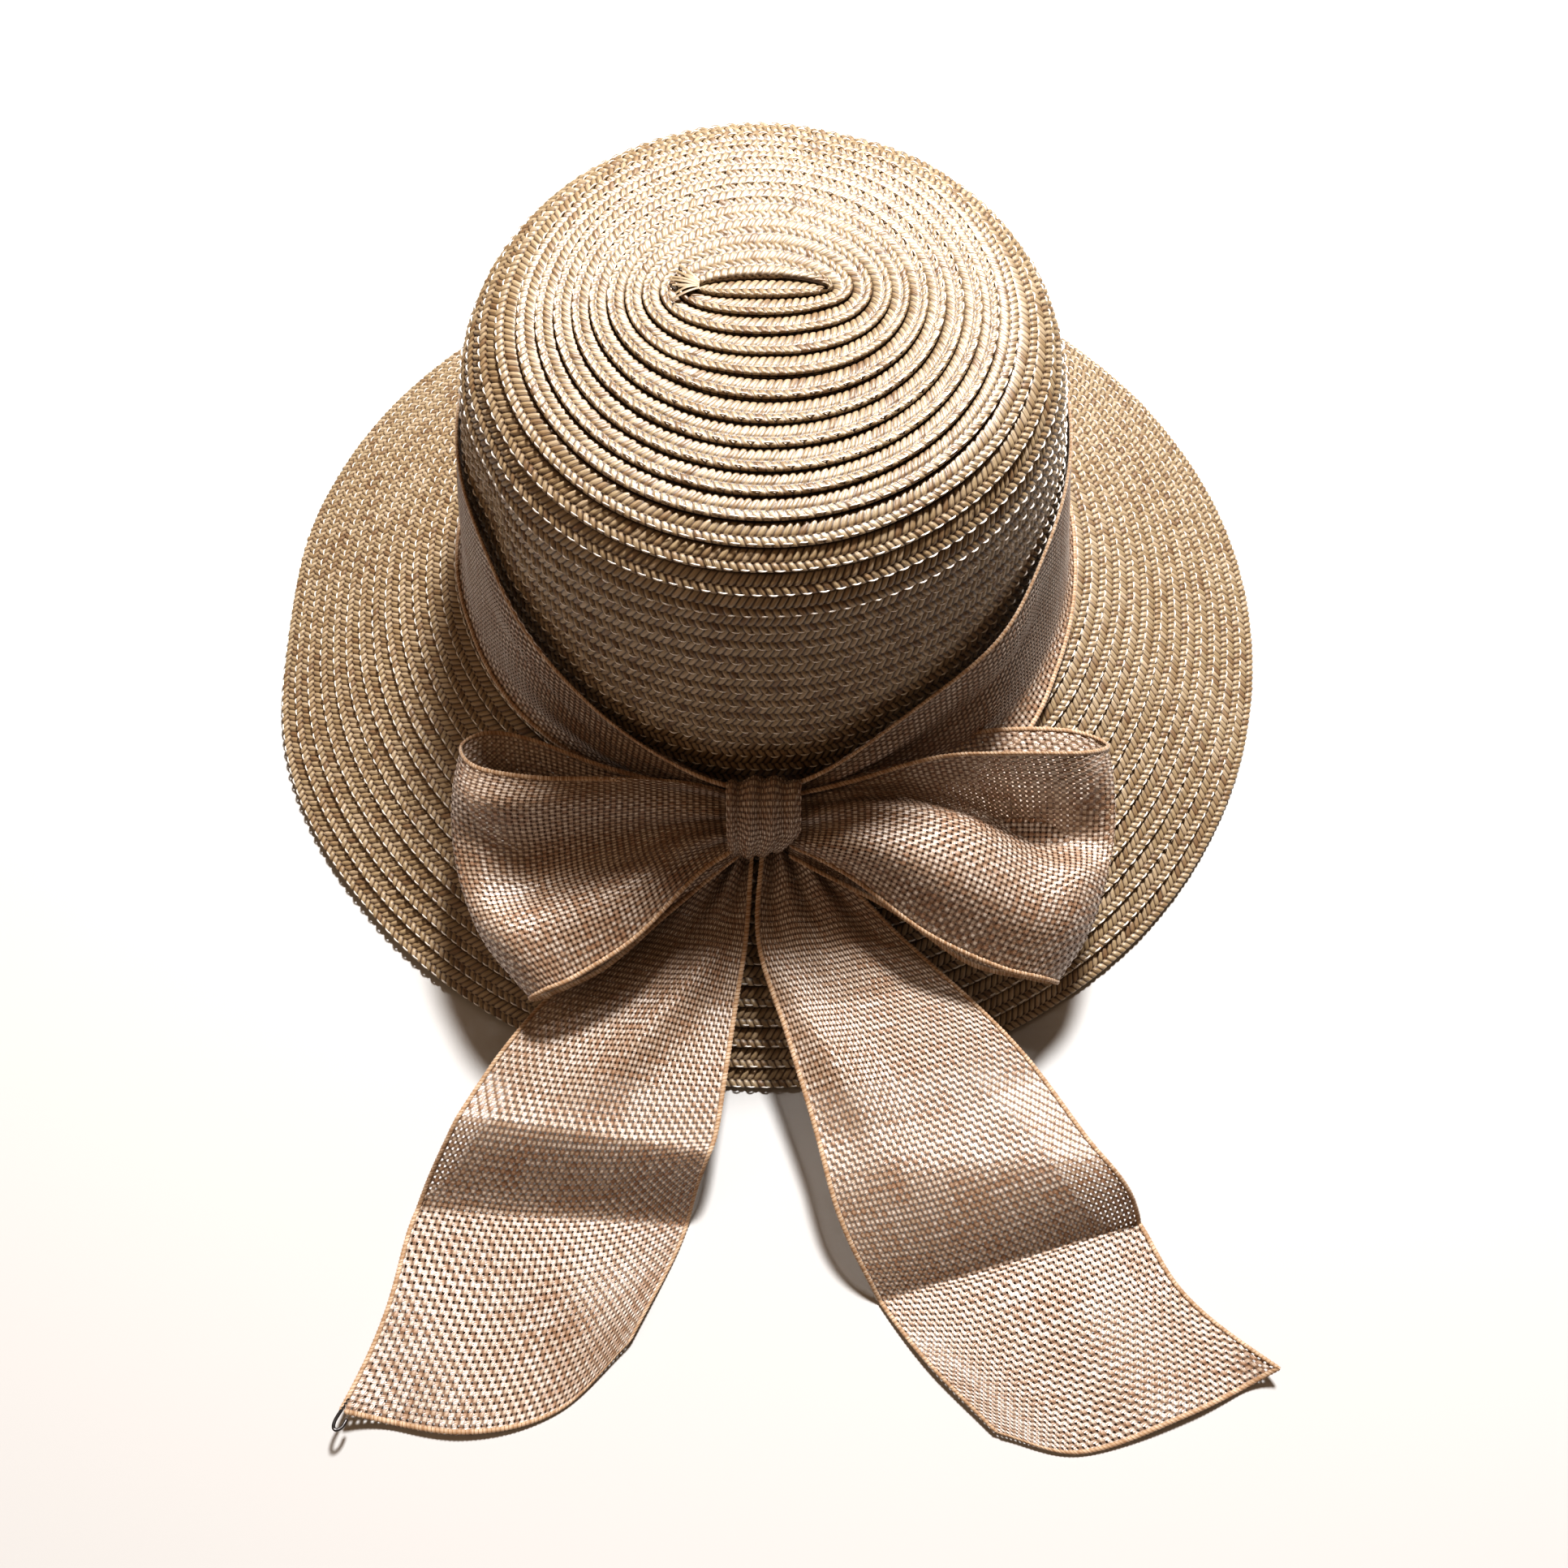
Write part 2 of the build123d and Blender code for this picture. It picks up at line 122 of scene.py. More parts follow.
class Shader:
    """A Principled material whose nodes are added by short calls."""

    def __init__(self, name, roughness, specular, sheen=0.0, sheen_roughness=0.5, ior=1.5):
        self.material = bpy.data.materials.new(name)
        self.material.use_nodes = True
        self.nodes = self.material.node_tree.nodes
        self.links = self.material.node_tree.links
        self.surface = self.nodes["Principled BSDF"]
        self.surface.inputs["Roughness"].default_value = roughness
        self.surface.inputs["IOR"].default_value = ior
        self.surface.inputs["Specular IOR Level"].default_value = specular
        self.surface.inputs["Sheen Weight"].default_value = sheen
        self.surface.inputs["Sheen Roughness"].default_value = sheen_roughness

    def plug(self, socket, value):
        if isinstance(value, bpy.types.NodeSocket):
            self.links.new(value, socket)
        else:
            socket.default_value = value

    def math(self, operation, first, second=0.0, third=0.0):
        node = self.nodes.new("ShaderNodeMath")
        node.operation = operation
        for socket, value in zip(node.inputs, (first, second, third)):
            self.plug(socket, value)
        return node.outputs[0]

    def ramp(self, value, stops):
        """Colours or greys, given as (place, colour)."""
        node = self.nodes.new("ShaderNodeValToRGB")
        elements = node.color_ramp.elements
        while len(elements) < len(stops):
            elements.new(0.5)
        for element, (place, colour) in zip(elements, stops):
            element.position = place
            grey = isinstance(colour, float)
            element.color = (colour, colour, colour, 1) if grey else (*colour, 1)
        self.plug(node.inputs[0], value)
        return node.outputs[0]

    def step(self, value, low, high):
        """0 below low, 1 above high and smooth between them."""
        node = self.nodes.new("ShaderNodeMapRange")
        node.interpolation_type = "SMOOTHSTEP"
        self.plug(node.inputs["Value"], value)
        node.inputs["From Min"].default_value = low
        node.inputs["From Max"].default_value = high
        return node.outputs[0]

    def times(self, first, second):
        return self.math("MULTIPLY", first, second)

    def apart(self, first, second):
        """How far apart two values are."""
        return self.math("ABSOLUTE", self.math("SUBTRACT", first, second))

    def either(self, share, first, second):
        """first where share is 0 and second where it is 1."""
        keep = self.math("SUBTRACT", 1.0, share)
        return self.math("ADD", self.times(share, second), self.times(keep, first))

    def vector(self, x, y, z):
        node = self.nodes.new("ShaderNodeCombineXYZ")
        for socket, value in zip(node.inputs, (x, y, z)):
            self.plug(socket, value)
        return node.outputs[0]

    def pattern(self):
        """The two UV values of a piece."""
        uv = self.nodes.new("ShaderNodeUVMap")
        uv.uv_map = PATTERN_UV
        split = self.nodes.new("ShaderNodeSeparateXYZ")
        self.links.new(uv.outputs[0], split.inputs[0])
        return split.outputs[0], split.outputs[1]

    def position(self):
        return self.nodes.new("ShaderNodeTexCoord").outputs["Object"]

    def random(self, vector):
        node = self.nodes.new("ShaderNodeTexWhiteNoise")
        node.noise_dimensions = "3D"
        self.links.new(vector, node.inputs["Vector"])
        return node.outputs["Value"]

    def noise(self, vector, scale, detail):
        node = self.nodes.new("ShaderNodeTexNoise")
        self.links.new(vector, node.inputs["Vector"])
        node.inputs["Scale"].default_value = scale
        node.inputs["Detail"].default_value = detail
        return node.outputs[0]

    def mix(self, share, first, second, blend="MIX"):
        node = self.nodes.new("ShaderNodeMix")
        node.data_type = "RGBA"
        node.blend_type = blend
        self.plug(node.inputs["Factor"], share)
        for socket, value in ((node.inputs[6], first), (node.inputs[7], second)):
            is_socket = isinstance(value, bpy.types.NodeSocket)
            self.plug(socket, value if is_socket else (*value, 1))
        return node.outputs[2]

    def finish(self, colour, height, bump):
        """Sets the colour and a fine relief, bump millimetres high."""
        self.links.new(colour, self.surface.inputs["Base Color"])
        node = self.nodes.new("ShaderNodeBump")
        node.inputs["Distance"].default_value = bump * MM
        self.links.new(height, node.inputs["Height"])
        self.links.new(node.outputs[0], self.surface.inputs["Normal"])
        return self.material


COLUMN_LINE = 0.62           # across a row, where the long strokes of the plait end


def straw_material():
    """Plaited paper straw: each stroke has its own tone and fine fibres, and painted shade darkens the gaps
    between strokes, the holes at the column line and the strip under each row's lapped edge.
    """
    shader = Shader("straw_braid", roughness=0.47, specular=1.0, ior=1.62)
    along, across = shader.pattern()
    row = shader.math("FLOOR", across)
    place = shader.math("FRACT", across)
    narrow = shader.math("GREATER_THAN", place, COLUMN_LINE)
    shifted = shader.math("MULTIPLY_ADD", narrow, 0.5, along)
    stroke = shader.math("FLOOR", shifted)
    side = shader.math("FRACT", shifted)
    own = shader.random(shader.vector(stroke, row, narrow))
    shade = shader.ramp(own, [
        (0.0, (0.25, 0.155, 0.08)),
        (0.12, (0.35, 0.25, 0.145)),
        (0.5, (0.405, 0.315, 0.195)),
        (1.0, (0.50, 0.40, 0.28)),
    ])
    patches = shader.noise(shader.position(), 24.0, 3.0)
    tinted = shader.mix(shader.step(patches, 0.35, 0.7), shade, (0.74, 0.64, 0.48), "MULTIPLY")
    shade = shader.mix(0.28, shade, tinted)
    fibre_place = shader.vector(
        shader.times(side, 9.0),
        shader.times(place, 2.2),
        shader.times(own, 60.0),
    )
    fibres = shader.noise(fibre_place, 1.0, 2.0)
    streaks = shader.ramp(fibres, [(0.3, 0.62), (0.5, 0.95), (0.7, 1.0)])
    shade = shader.mix(0.75, shade, streaks, "MULTIPLY")
    # Painted shade: the colour turns near-black brown in the gaps between strokes, in the holes where long
    # and short strokes meet, and where each row tucks under the row before it.
    from_middle = shader.apart(side, 0.5)
    gap_shade = shader.step(from_middle, 0.28, 0.47)
    from_line = shader.apart(place, COLUMN_LINE)
    wide_gap = shader.step(from_middle, 0.14, 0.40)
    near_line = shader.math("SUBTRACT", 1.0, shader.step(from_line, 0.05, 0.16))
    hole_shade = shader.times(near_line, wide_gap)
    tuck_shade = shader.math("SUBTRACT", 1.0, shader.step(place, 0.04, 0.17))
    painted_shade = shader.math("MAXIMUM", shader.times(gap_shade, 0.84), hole_shade)
    painted_shade = shader.math("MAXIMUM", painted_shade, shader.times(tuck_shade, 0.92))
    # The dark brown of the painted shade.
    colour = shader.mix(painted_shade, shade, (0.055, 0.024, 0.010))
    height = shader.math("MULTIPLY_ADD", from_middle, -0.6, fibres)
    return shader.finish(colour, height, 0.12)


# ---- straw, outer line

CROWN_TOP_RADIUS = 63.0
DOME_SLOPE = math.radians(15.7)
SHOULDER_RADIUS = 30.0
WALL_SLOPE = math.radians(82.6)
WALL_LENGTH = 76.0
NECK_RADIUS = 7.0
BRIM_SLOPE = math.radians(37.0)
BRIM_LENGTH = 88.0
RIM_LIFT = 1.6
CROWN_ROWS = 27
BRIM_ROWS = 14
START_ROWS = 4
TIP_END_ROW = 10
ROWS = CROWN_ROWS + BRIM_ROWS
START_LENGTH = 35.0
LAP_STEP = 1.5

section_lengths = [
    CROWN_TOP_RADIUS / math.sin(DOME_SLOPE) * DOME_SLOPE,
    SHOULDER_RADIUS * (WALL_SLOPE - DOME_SLOPE),
    WALL_LENGTH,
    NECK_RADIUS * (WALL_SLOPE - BRIM_SLOPE),
    BRIM_LENGTH,
]
section_ends = np.concatenate([[0.0], np.cumsum(section_lengths)])
line_length = section_ends[-1]
crown_length = section_ends[3] + section_lengths[3] / 2
LINE_STEPS = 6000
line_distance = np.linspace(0, line_length, LINE_STEPS)
section_slopes = [0, DOME_SLOPE, WALL_SLOPE, WALL_SLOPE, BRIM_SLOPE, BRIM_SLOPE]
line_slope = np.interp(line_distance, section_ends, section_slopes)
middle_slope = (line_slope[1:] + line_slope[:-1]) / 2
line_radius = np.concatenate([[0.0], np.cumsum(np.cos(middle_slope))]) * line_distance[1]
line_drop = np.concatenate([[0.0], np.cumsum(np.sin(middle_slope))]) * line_distance[1]
line_height = RIM_LIFT + line_drop[-1] - line_drop
row_edges = np.concatenate([
    np.linspace(0, crown_length, CROWN_ROWS + 1),
    np.linspace(crown_length, line_length, BRIM_ROWS + 1)[1:],
])
row_pitch = row_edges[1]
oval_distance = row_edges[TIP_END_ROW]
oval_radius = np.interp(oval_distance, line_distance, line_radius)


def hump(value, middle, reach):
    """1 at the middle, falling smoothly to nothing within about two reaches of it."""
    return np.exp(-((value - middle) / reach) ** 2)


def out_on_brim(distance):
    """0 on the crown, then growing to 1 at the rim."""
    return np.clip((distance - crown_length) / (line_length - crown_length), 0, 1)


def angle_from(azimuth, direction):
    """The angle from a direction, between -pi and pi."""
    return np.angle(np.exp(1j * (azimuth - direction)))


def brim_wave(azimuth, distance):
    """The brim isn't quite true: it rises and falls a little round the hat."""
    wave = 1.0 + 0.6 * np.sin(2 * azimuth + 0.9) + 0.4 * np.sin(5 * azimuth + 0.4)
    return out_on_brim(distance) ** 2 * 0.7 * wave


def rim_bulge(azimuth, distance):
    """The rim isn't quite round: on its left it goes in a little and out again."""
    turn = angle_from(azimuth, math.pi)
    return out_on_brim(distance) ** 3 * (1.6 * hump(turn, 0.36, 0.22) - 2.2 * hump(turn, 0.02, 0.2))


def dents(x, y, height):
    """How far the soft crown is pressed in: at the top of the back, and on the left of its wall."""
    back = 1.7 * hump(x, 20, 200**0.5) * hump(y, 64, 200**0.5)
    round_left = angle_from(np.arctan2(y, x), math.radians(206))
    left = 2.4 * hump(round_left, 0, 0.15) * hump(height, 118, 20)
    return back, left


def straw_place(distance, azimuth, rise):
    """Points over the straw's outer line, at an azimuth and a rise along its normal."""
    radius = np.interp(distance, line_distance, line_radius)
    share = np.clip(distance / oval_distance, 0, 1)
    long = np.where(share < 1, START_LENGTH / 2 * (1 - share) + oval_radius * share, radius)
    short = np.where(share < 1, row_pitch / 2 * (1 - share) + oval_radius * share, radius)
    x = long * np.cos(azimuth)
    y = short * np.sin(azimuth)
    plan = np.hypot(x, y)
    here = np.where(share < 1, np.interp(plan, line_radius, line_distance), distance)
    slope = np.interp(here, line_distance, line_slope)
    height = np.interp(here, line_distance, line_height)
    back_dent, left_dent = dents(x, y, height)
    outward = rise * np.sin(slope) - left_dent + rim_bulge(azimuth, distance)
    growth = 1 + outward / np.maximum(plan, 1.0)
    z = height + rise * np.cos(slope) + brim_wave(azimuth, distance) - back_dent
    return np.stack([x * growth, y * growth, z], axis=-1)


# ---- straw, plaited rows

STROKE_PITCH = 2.13          # along a row
STROKE_POINTS = 4            # mesh points for each stroke
STROKE_SHAPE = np.array([-0.42, 0.12, 0.26, 0.12])  # height over one stroke
TURN_START = math.radians(80)   # the braid's turns start and end at the back
LONG_STROKE_LEAN = 1.15      # in strokes, from the inner edge to the column line
SHORT_STROKE_LEAN = 0.62
# Across a row: (place, rise over the row's base line, share of the stroke relief).
ROW_PLACE, ROW_BASE, ROW_RELIEF = np.array([
    (-0.12, -1.0, 0.0),
    (0.02, -0.55, 0.3),
    (0.11, -0.05, 0.9),
    (0.25, 0.08, 1.0),
    (0.42, 0.08, 1.0),
    (0.56, 0.0, 0.9),
    (0.62, -0.28, 0.3),
    (0.68, 0.0, 0.9),
    (0.79, 0.1, 1.0),
    (0.90, 0.06, 1.0),
    (0.97, -0.08, 0.8),
    (1.01, -0.4, 0.4),
    (1.02, -0.85, 0.1),
    (0.96, -1.25, 0.0),
]).T
ROW_SPAN = np.clip(ROW_PLACE, 0, 1)
ROW_PATTERN = np.clip(ROW_PLACE, 0.001, 0.999)   # where each place reads the straw's pattern


def row_edge(turn):
    """Distance along the outer line of the row edge after so many turns of the spiral."""
    row = np.floor(turn)
    part = turn - row
    jog = np.minimum(0.28 + 0.06 * np.maximum(row, 0), np.clip(1 - (row - 18) / 10, 1 / 6, 1))
    climbed = np.clip((part - 1 + jog) / jog, 0, 1)
    return np.interp(np.clip(row + climbed, 0, ROWS), np.arange(ROWS + 1), row_edges)


def lean_of(place):
    """How far a stroke has shifted along the row, in strokes, at a place across it."""
    return np.interp(
        place, [0, COLUMN_LINE, 1],
        [0, -LONG_STROKE_LEAN, -LONG_STROKE_LEAN + SHORT_STROKE_LEAN],
    )


OVERRUN = 0.1                # turns measured past each end of a stretch
TURN_SAMPLES = 360           # places measured in each turn


def braid_turns(first_turn, last_turn):
    """Mesh places along a stretch of the spiral in strokes, the stroke count, and turn against length."""
    count = int((last_turn - first_turn + 2 * OVERRUN) * TURN_SAMPLES) + 1
    turns = np.linspace(first_turn - OVERRUN, last_turn + OVERRUN, count)
    distance = (row_edge(turns) + row_edge(turns + 1)) / 2
    path = straw_place(distance, turns * 2 * np.pi + TURN_START, 0)
    length = run_length(path)
    start, end = np.interp([first_turn, last_turn], turns, length)
    strokes = int(round((end - start) / STROKE_PITCH))
    samples = np.arange(strokes * STROKE_POINTS + 1) / STROKE_POINTS
    return samples, strokes, turns, (length - start) * strokes / (end - start)


def row_marks(samples):
    """For every mesh point of a row, its stroke and its place among the stroke's points."""
    narrow = (ROW_PLACE > COLUMN_LINE).astype(int) * (STROKE_POINTS // 2)
    marks = np.arange(len(samples))[:, None] + narrow
    return marks // STROKE_POINTS, marks % STROKE_POINTS


def drift(along, strokes, spacing, spread):
    """A slow random change along a row: a new random value every so many strokes."""
    marks = np.arange(0, strokes + 40, spacing)
    return np.interp(along, marks, noise.normal(0, spread, len(marks)))


def braid_grid(first_turn, last_turn):
    """The outer face of a stretch of the sewn braid."""
    samples, strokes, turns, length = braid_turns(first_turn, last_turn)
    along = samples[:, None] + lean_of(ROW_SPAN)
    turn = np.interp(along, length, turns)
    inner = row_edge(turn)
    width = row_edge(turn + 1) - inner
    stroke, point = row_marks(samples)
    unevenness = noise.normal(0, 0.07, strokes + 2)[stroke]
    relief = (STROKE_SHAPE[point] + unevenness) * ROW_RELIEF
    looseness = drift(along, strokes, 9, 0.16)
    lap = LAP_STEP * (1 - np.exp(-(turn / 0.22) ** 4))
    rise = -lap * (1 - ROW_PLACE) + ROW_BASE + relief
    rise += looseness * ROW_SPAN
    wander = drift(along, strokes, 13, 0.12)
    distance = inner + ROW_PLACE * width + wander * ROW_SPAN
    points = straw_place(distance, turn * 2 * np.pi + TURN_START, rise)
    points[..., 2] = np.maximum(points[..., 2], 0.0)
    return as_grid(points, samples[:, None], np.floor(turn[:, :1]) + ROW_PATTERN)


LINING_DEPTH = 2.3           # from the outer line to the inner face


def lining_grid(first_turn, last_turn):
    """The inner face of the same stretch, with a shallower plait."""
    samples, _, turns, length = braid_turns(first_turn, last_turn)
    samples = samples[::2]
    place = np.array([0.0, 0.3, COLUMN_LINE, 0.85, 1.0])
    along = samples[:, None] + lean_of(place)
    turn = np.interp(along, length, turns)
    inner = row_edge(turn)
    distance = inner + place * (row_edge(turn + 1) - inner)
    groove = np.where(np.arange(len(samples)) % 2 == 0, 0.15, -0.15)[:, None]
    rise = -LINING_DEPTH + 0.5 * place + groove * np.array([0, 1, 0.4, 1, 0])
    points = straw_place(distance, turn * 2 * np.pi + TURN_START, rise)
    points[..., 2] = np.maximum(points[..., 2], 0.0)
    across = np.floor(turn[:, :1]) + np.clip(place, 0.15, 0.999)
    points, faces, uv = as_grid(points, samples[:, None], across)
    return points, faces[:, ::-1], uv


def braid_piece(node, grids):
    make_piece(f"{node}_braid", join_grids(grids), "hat", node, straw)


def braid_turns_piece(node, first_turn, last_turn):
    braid_piece(node, [braid_grid(first_turn, last_turn), lining_grid(first_turn, last_turn)])


straw = straw_material()
braid_turns_piece("crown_start_rows", -1, START_ROWS)
braid_turns_piece("crown_tip", START_ROWS, TIP_END_ROW)
braid_turns_piece("crown_side", TIP_END_ROW, CROWN_ROWS)
braid_turns_piece("brim", CROWN_ROWS, ROWS - 1)
braid_turns_piece("brim_edge", ROWS - 1, ROWS)

# ---- straw, centre of the crown

def start_strip():
    """The straight first length of braid, seen as a narrow lens between the first turns."""
    strokes = int(START_LENGTH / STROKE_PITCH)
    samples = np.arange(strokes * STROKE_POINTS + 1) / STROKE_POINTS
    along = samples[:, None] + lean_of(ROW_SPAN)
    share = np.clip(2 * along / strokes - 1, -0.985, 0.985)
    x = share * START_LENGTH / 2
    half_width = row_pitch / 2 * np.sqrt(1 - share**2)
    y = half_width * (1 - 2 * ROW_PLACE)
    _, point = row_marks(samples)
    relief = STROKE_SHAPE[point] * ROW_RELIEF
    rise = -LAP_STEP * (1 - ROW_PLACE) + ROW_BASE + relief
    top = np.interp(np.hypot(x, y), line_radius, line_height)
    points = np.stack([x, y, top + rise], axis=-1)
    return as_grid(points, samples[:, None], ROW_PATTERN)


FRAYED_STRANDS = 11
FRAYED_X = -16.5             # where the strands come out of the braid
FRAYED_Y = 0.4
FRAYED_HEADING = 168         # degrees, with the strands spread evenly to both sides of it
FRAYED_SPREAD = 62
STRAND_WIDTH = 0.95
STRAND_POINTS = 9
STRAND_SECTION = np.array([-0.5, -0.25, 0, 0.25, 0.5])


def frayed_end():
    """The cut end of the braid: loose paper strands that splay out over the first turn."""
    grids = []
    for strand in range(FRAYED_STRANDS):
        spread = strand / (FRAYED_STRANDS - 1) - 0.5
        direction = math.radians(FRAYED_HEADING + FRAYED_SPREAD * spread + noise.uniform(-8, 8))
        reach = noise.uniform(5.5, 8.5)
        along = np.linspace(0, 1, STRAND_POINTS)[:, None]
        bend = noise.uniform(-0.25, 0.25)
        angle = direction + bend * along
        x = FRAYED_X + reach * along * np.cos(angle)
        y = FRAYED_Y - 2.2 * spread + reach * along * np.sin(angle)
        lift = 0.9 + 1.6 * np.sin(along * np.pi * 0.75) * noise.uniform(0.5, 1.0)
        z = np.interp(np.hypot(x, y), line_radius, line_height) + lift * (1 - 0.45 * along) - 0.6
        side = STRAND_SECTION * STRAND_WIDTH * (1 - 0.3 * along)
        arch = 0.16 * (1 - (side / (0.5 * STRAND_WIDTH)) ** 2)
        points = np.stack([x - side * np.sin(angle), y + side * np.cos(angle), z + arch], axis=-1)
        grids.append(as_grid(points, strand + 0.5 + side * 0.8, 0.25 + 0.3 * along))
    return grids


braid_piece("crown_start_strip", [start_strip()])
braid_piece("braid_start_end", frayed_end())

# ---- ribbon, materials

WARP_PITCH = 1.4             # between the threads that run along the ribbon
WEFT_PITCH = 1.8             # between the threads across it
RIBBON_WIDTH = 76.0
WARP_THREADS = round(RIBBON_WIDTH / WARP_PITCH)
HALF_GAP = 0.19              # of a thread pitch, half the width of a hole
THREAD_LIFT = 0.16


def cloth_material():
    """Loose plain weave of slubby threads: each thread has its own tone and twist, and painted shade
    darkens the edges of every thread round the holes.
    """
    shader = Shader("ribbon_cloth", roughness=0.42, specular=1.0, sheen=0.1, sheen_roughness=0.4, ior=1.56)
    across, along = shader.pattern()
    warp = shader.math("FLOOR", across)
    weft = shader.math("FLOOR", along)
    parity = shader.math("PINGPONG", shader.math("ADD", warp, weft), 1.0)
    warp_place = shader.math("FRACT", across)
    weft_place = shader.math("FRACT", along)
    warp_stretch = shader.math("FLOOR", shader.times(along, 0.11))
    weft_stretch = shader.math("FLOOR", shader.times(across, 0.13))
    warp_shade = shader.random(shader.vector(warp, warp_stretch, 3.0))
    weft_shade = shader.random(shader.vector(weft_stretch, weft, 9.0))
    on_warp = shader.math("GREATER_THAN", parity, 0.5)
    own = shader.either(on_warp, weft_shade, warp_shade)
    shade = shader.ramp(own, [
        (0.0, (0.45, 0.30, 0.205)),
        (0.4, (0.58, 0.495, 0.405)),
        (1.0, (0.82, 0.77, 0.715)),
    ])
    patches = shader.noise(shader.position(), 60.0, 4.0)
    patch = shader.times(shader.step(patches, 0.5, 0.8), 0.4)
    shade = shader.mix(patch, shade, (0.46, 0.32, 0.225))
    twist_along = shader.math("MULTIPLY_ADD", along, 3.0, warp_place)
    twist_across = shader.math("MULTIPLY_ADD", across, 3.0, weft_place)
    turns = shader.math("PINGPONG", shader.either(on_warp, twist_across, twist_along), 0.5)
    shade = shader.mix(shader.times(turns, 0.5), shade, (0.34, 0.225, 0.14))
    # Painted shade: the edges of each thread, next to the holes, are darkened towards rust brown.
    from_warp = shader.apart(warp_place, 0.5)
    from_weft = shader.apart(weft_place, 0.5)
    edge = shader.step(shader.math("MAXIMUM", from_warp, from_weft), 0.18, 0.34)
    shade = shader.mix(shader.times(edge, 0.75), shade, (0.17, 0.085, 0.045))
    return shader.finish(shade, turns, 0.08)


def edging_material():
    """Golden overlock thread wrapped round the edge."""
    shader = Shader("ribbon_edging", roughness=0.6, specular=0.35, sheen=0.3)
    around, along = shader.pattern()
    wrap = shader.math("ADD", around, along)
    strand = shader.math("PINGPONG", wrap, 0.5)
    own = shader.random(shader.vector(shader.math("FLOOR", wrap), 5.0, 2.0))
    shade = shader.ramp(own, [
        (0.0, (0.40, 0.265, 0.17)),
        (0.5, (0.52, 0.385, 0.27)),
        (1.0, (0.64, 0.51, 0.39)),
    ])
    shade = shader.mix(shader.step(strand, 0.28, 0.5), shade, (0.34, 0.20, 0.10))
    return shader.finish(shade, strand, 0.15)


def thread_material():
    """Pale glossy sewing thread with a fine twist."""
    shader = Shader("sewing_thread", roughness=0.3, specular=0.6, sheen=0.2)
    around, along = shader.pattern()
    twist = shader.math("PINGPONG", shader.math("MULTIPLY_ADD", along, 2.0, around), 0.5)
    shade = shader.mix(twist, (0.92, 0.90, 0.87), (0.70, 0.67, 0.64))
    return shader.finish(shade, twist, 0.05)


cloth = cloth_material()
edging = edging_material()
thread = thread_material()


# ---- ribbon, sheets and edges

def smooth_through(points, places):
    """A smooth run through points along their first axis, read at places from 0 to 1."""
    points = np.asarray(points, dtype=float)
    count = len(points)
    before = 2 * points[:1] - points[1:2]
    after = 2 * points[-1:] - points[-2:-1]
    padded = np.concatenate([before, points, after])
    place = np.clip(places, 0, 1) * (count - 1)
    index = np.minimum(place.astype(int), count - 2)
    t = (place - index).reshape([-1] + [1] * (points.ndim - 1))
    a, b, c, d = (padded[index + step] for step in range(4))
    return 0.5 * (2 * b + (c - a) * t + (2 * a - 5 * b + 4 * c - d) * t**2 + (3 * b - a - 3 * c + d) * t**3)


def lofted(stations):
    """A surface through rows of points: each row runs across the ribbon."""
    def surface(across, along):
        rows = smooth_through(np.array(stations, dtype=float), along)
        return np.swapaxes(smooth_through(np.swapaxes(rows, 0, 1), across), 0, 1)
    return surface


def unit(vectors):
    return vectors / np.maximum(np.linalg.norm(vectors, axis=-1, keepdims=True), 1e-9)


def sheet_normals(points):
    along = np.gradient(points, axis=0)
    across = np.gradient(points, axis=1)
    return unit(np.cross(across, along))


def even_places(surface):
    """Places along a ribbon at equal steps of length, and its length."""
    fine = np.linspace(0, 1, 600)
    middle = surface(np.array([0.25, 0.5, 0.75]), fine)
    steps = np.linalg.norm(np.diff(middle, axis=0), axis=-1).mean(axis=1)
    length = np.concatenate([[0.0], np.cumsum(steps)])
    return fine, length


def woven_sheet(surface, warps):
    """The cloth as crossing threads with open holes between them."""
    fine, length = even_places(surface)
    wefts = int(round(length[-1] / WEFT_PITCH))
    across = (np.arange(warps)[:, None] + [HALF_GAP, 1 - HALF_GAP]).ravel()
    along = (np.arange(wefts)[:, None] + [HALF_GAP, 1 - HALF_GAP]).ravel()
    places = np.interp(along / wefts * length[-1], length, fine)
    points = surface(across / warps, places)
    over = (np.arange(len(across)) // 2 + (np.arange(len(along)) // 2)[:, None]) % 2
    points = points + sheet_normals(points) * ((over * 2 - 1) * THREAD_LIFT)[..., None]
    row = np.arange(len(along) - 1)[:, None] % 2
    column = np.arange(len(across) - 1) % 2
    solid = ((row == 0) | (column == 0)).ravel()
    points, faces, uv = as_grid(points, across, along[:, None])
    return points, faces[solid], uv


EDGE_HALF_WIDTH = 0.75
EDGE_HALF_THICKNESS = 0.5
EDGE_STITCH = 1.2
EDGE_SIDES = 8
EDGE_STEP = 0.45


def overlocked_edge(path, outward, normal):
    """An edge wrapped in slanting overlock stitches."""
    length = run_length(path)
    count = int(length[-1] / EDGE_STEP)
    marks = np.linspace(0, length[-1], count)

    def even(values):
        return np.stack([np.interp(marks, length, values[:, axis]) for axis in range(3)], axis=-1)

    path, outward, normal = even(path), unit(even(outward)), unit(even(normal))
    angle = np.arange(EDGE_SIDES + 1) / EDGE_SIDES * 2 * np.pi
    wrap = np.cos(angle + marks[:, None] / EDGE_STITCH * 2 * np.pi)
    ends = np.clip(np.minimum(marks, length[-1] - marks) / 1.0, 0.05, 1)[:, None]
    size = (1 + 0.2 * wrap) * ends
    wide = (np.cos(angle) * EDGE_HALF_WIDTH * size)[..., None] * outward[:, None, :]
    thick = (np.sin(angle) * EDGE_HALF_THICKNESS * size)[..., None] * normal[:, None, :]
    points = path[:, None, :] + wide + thick
    return as_grid(points, angle / (2 * np.pi), (marks / EDGE_STITCH)[:, None])


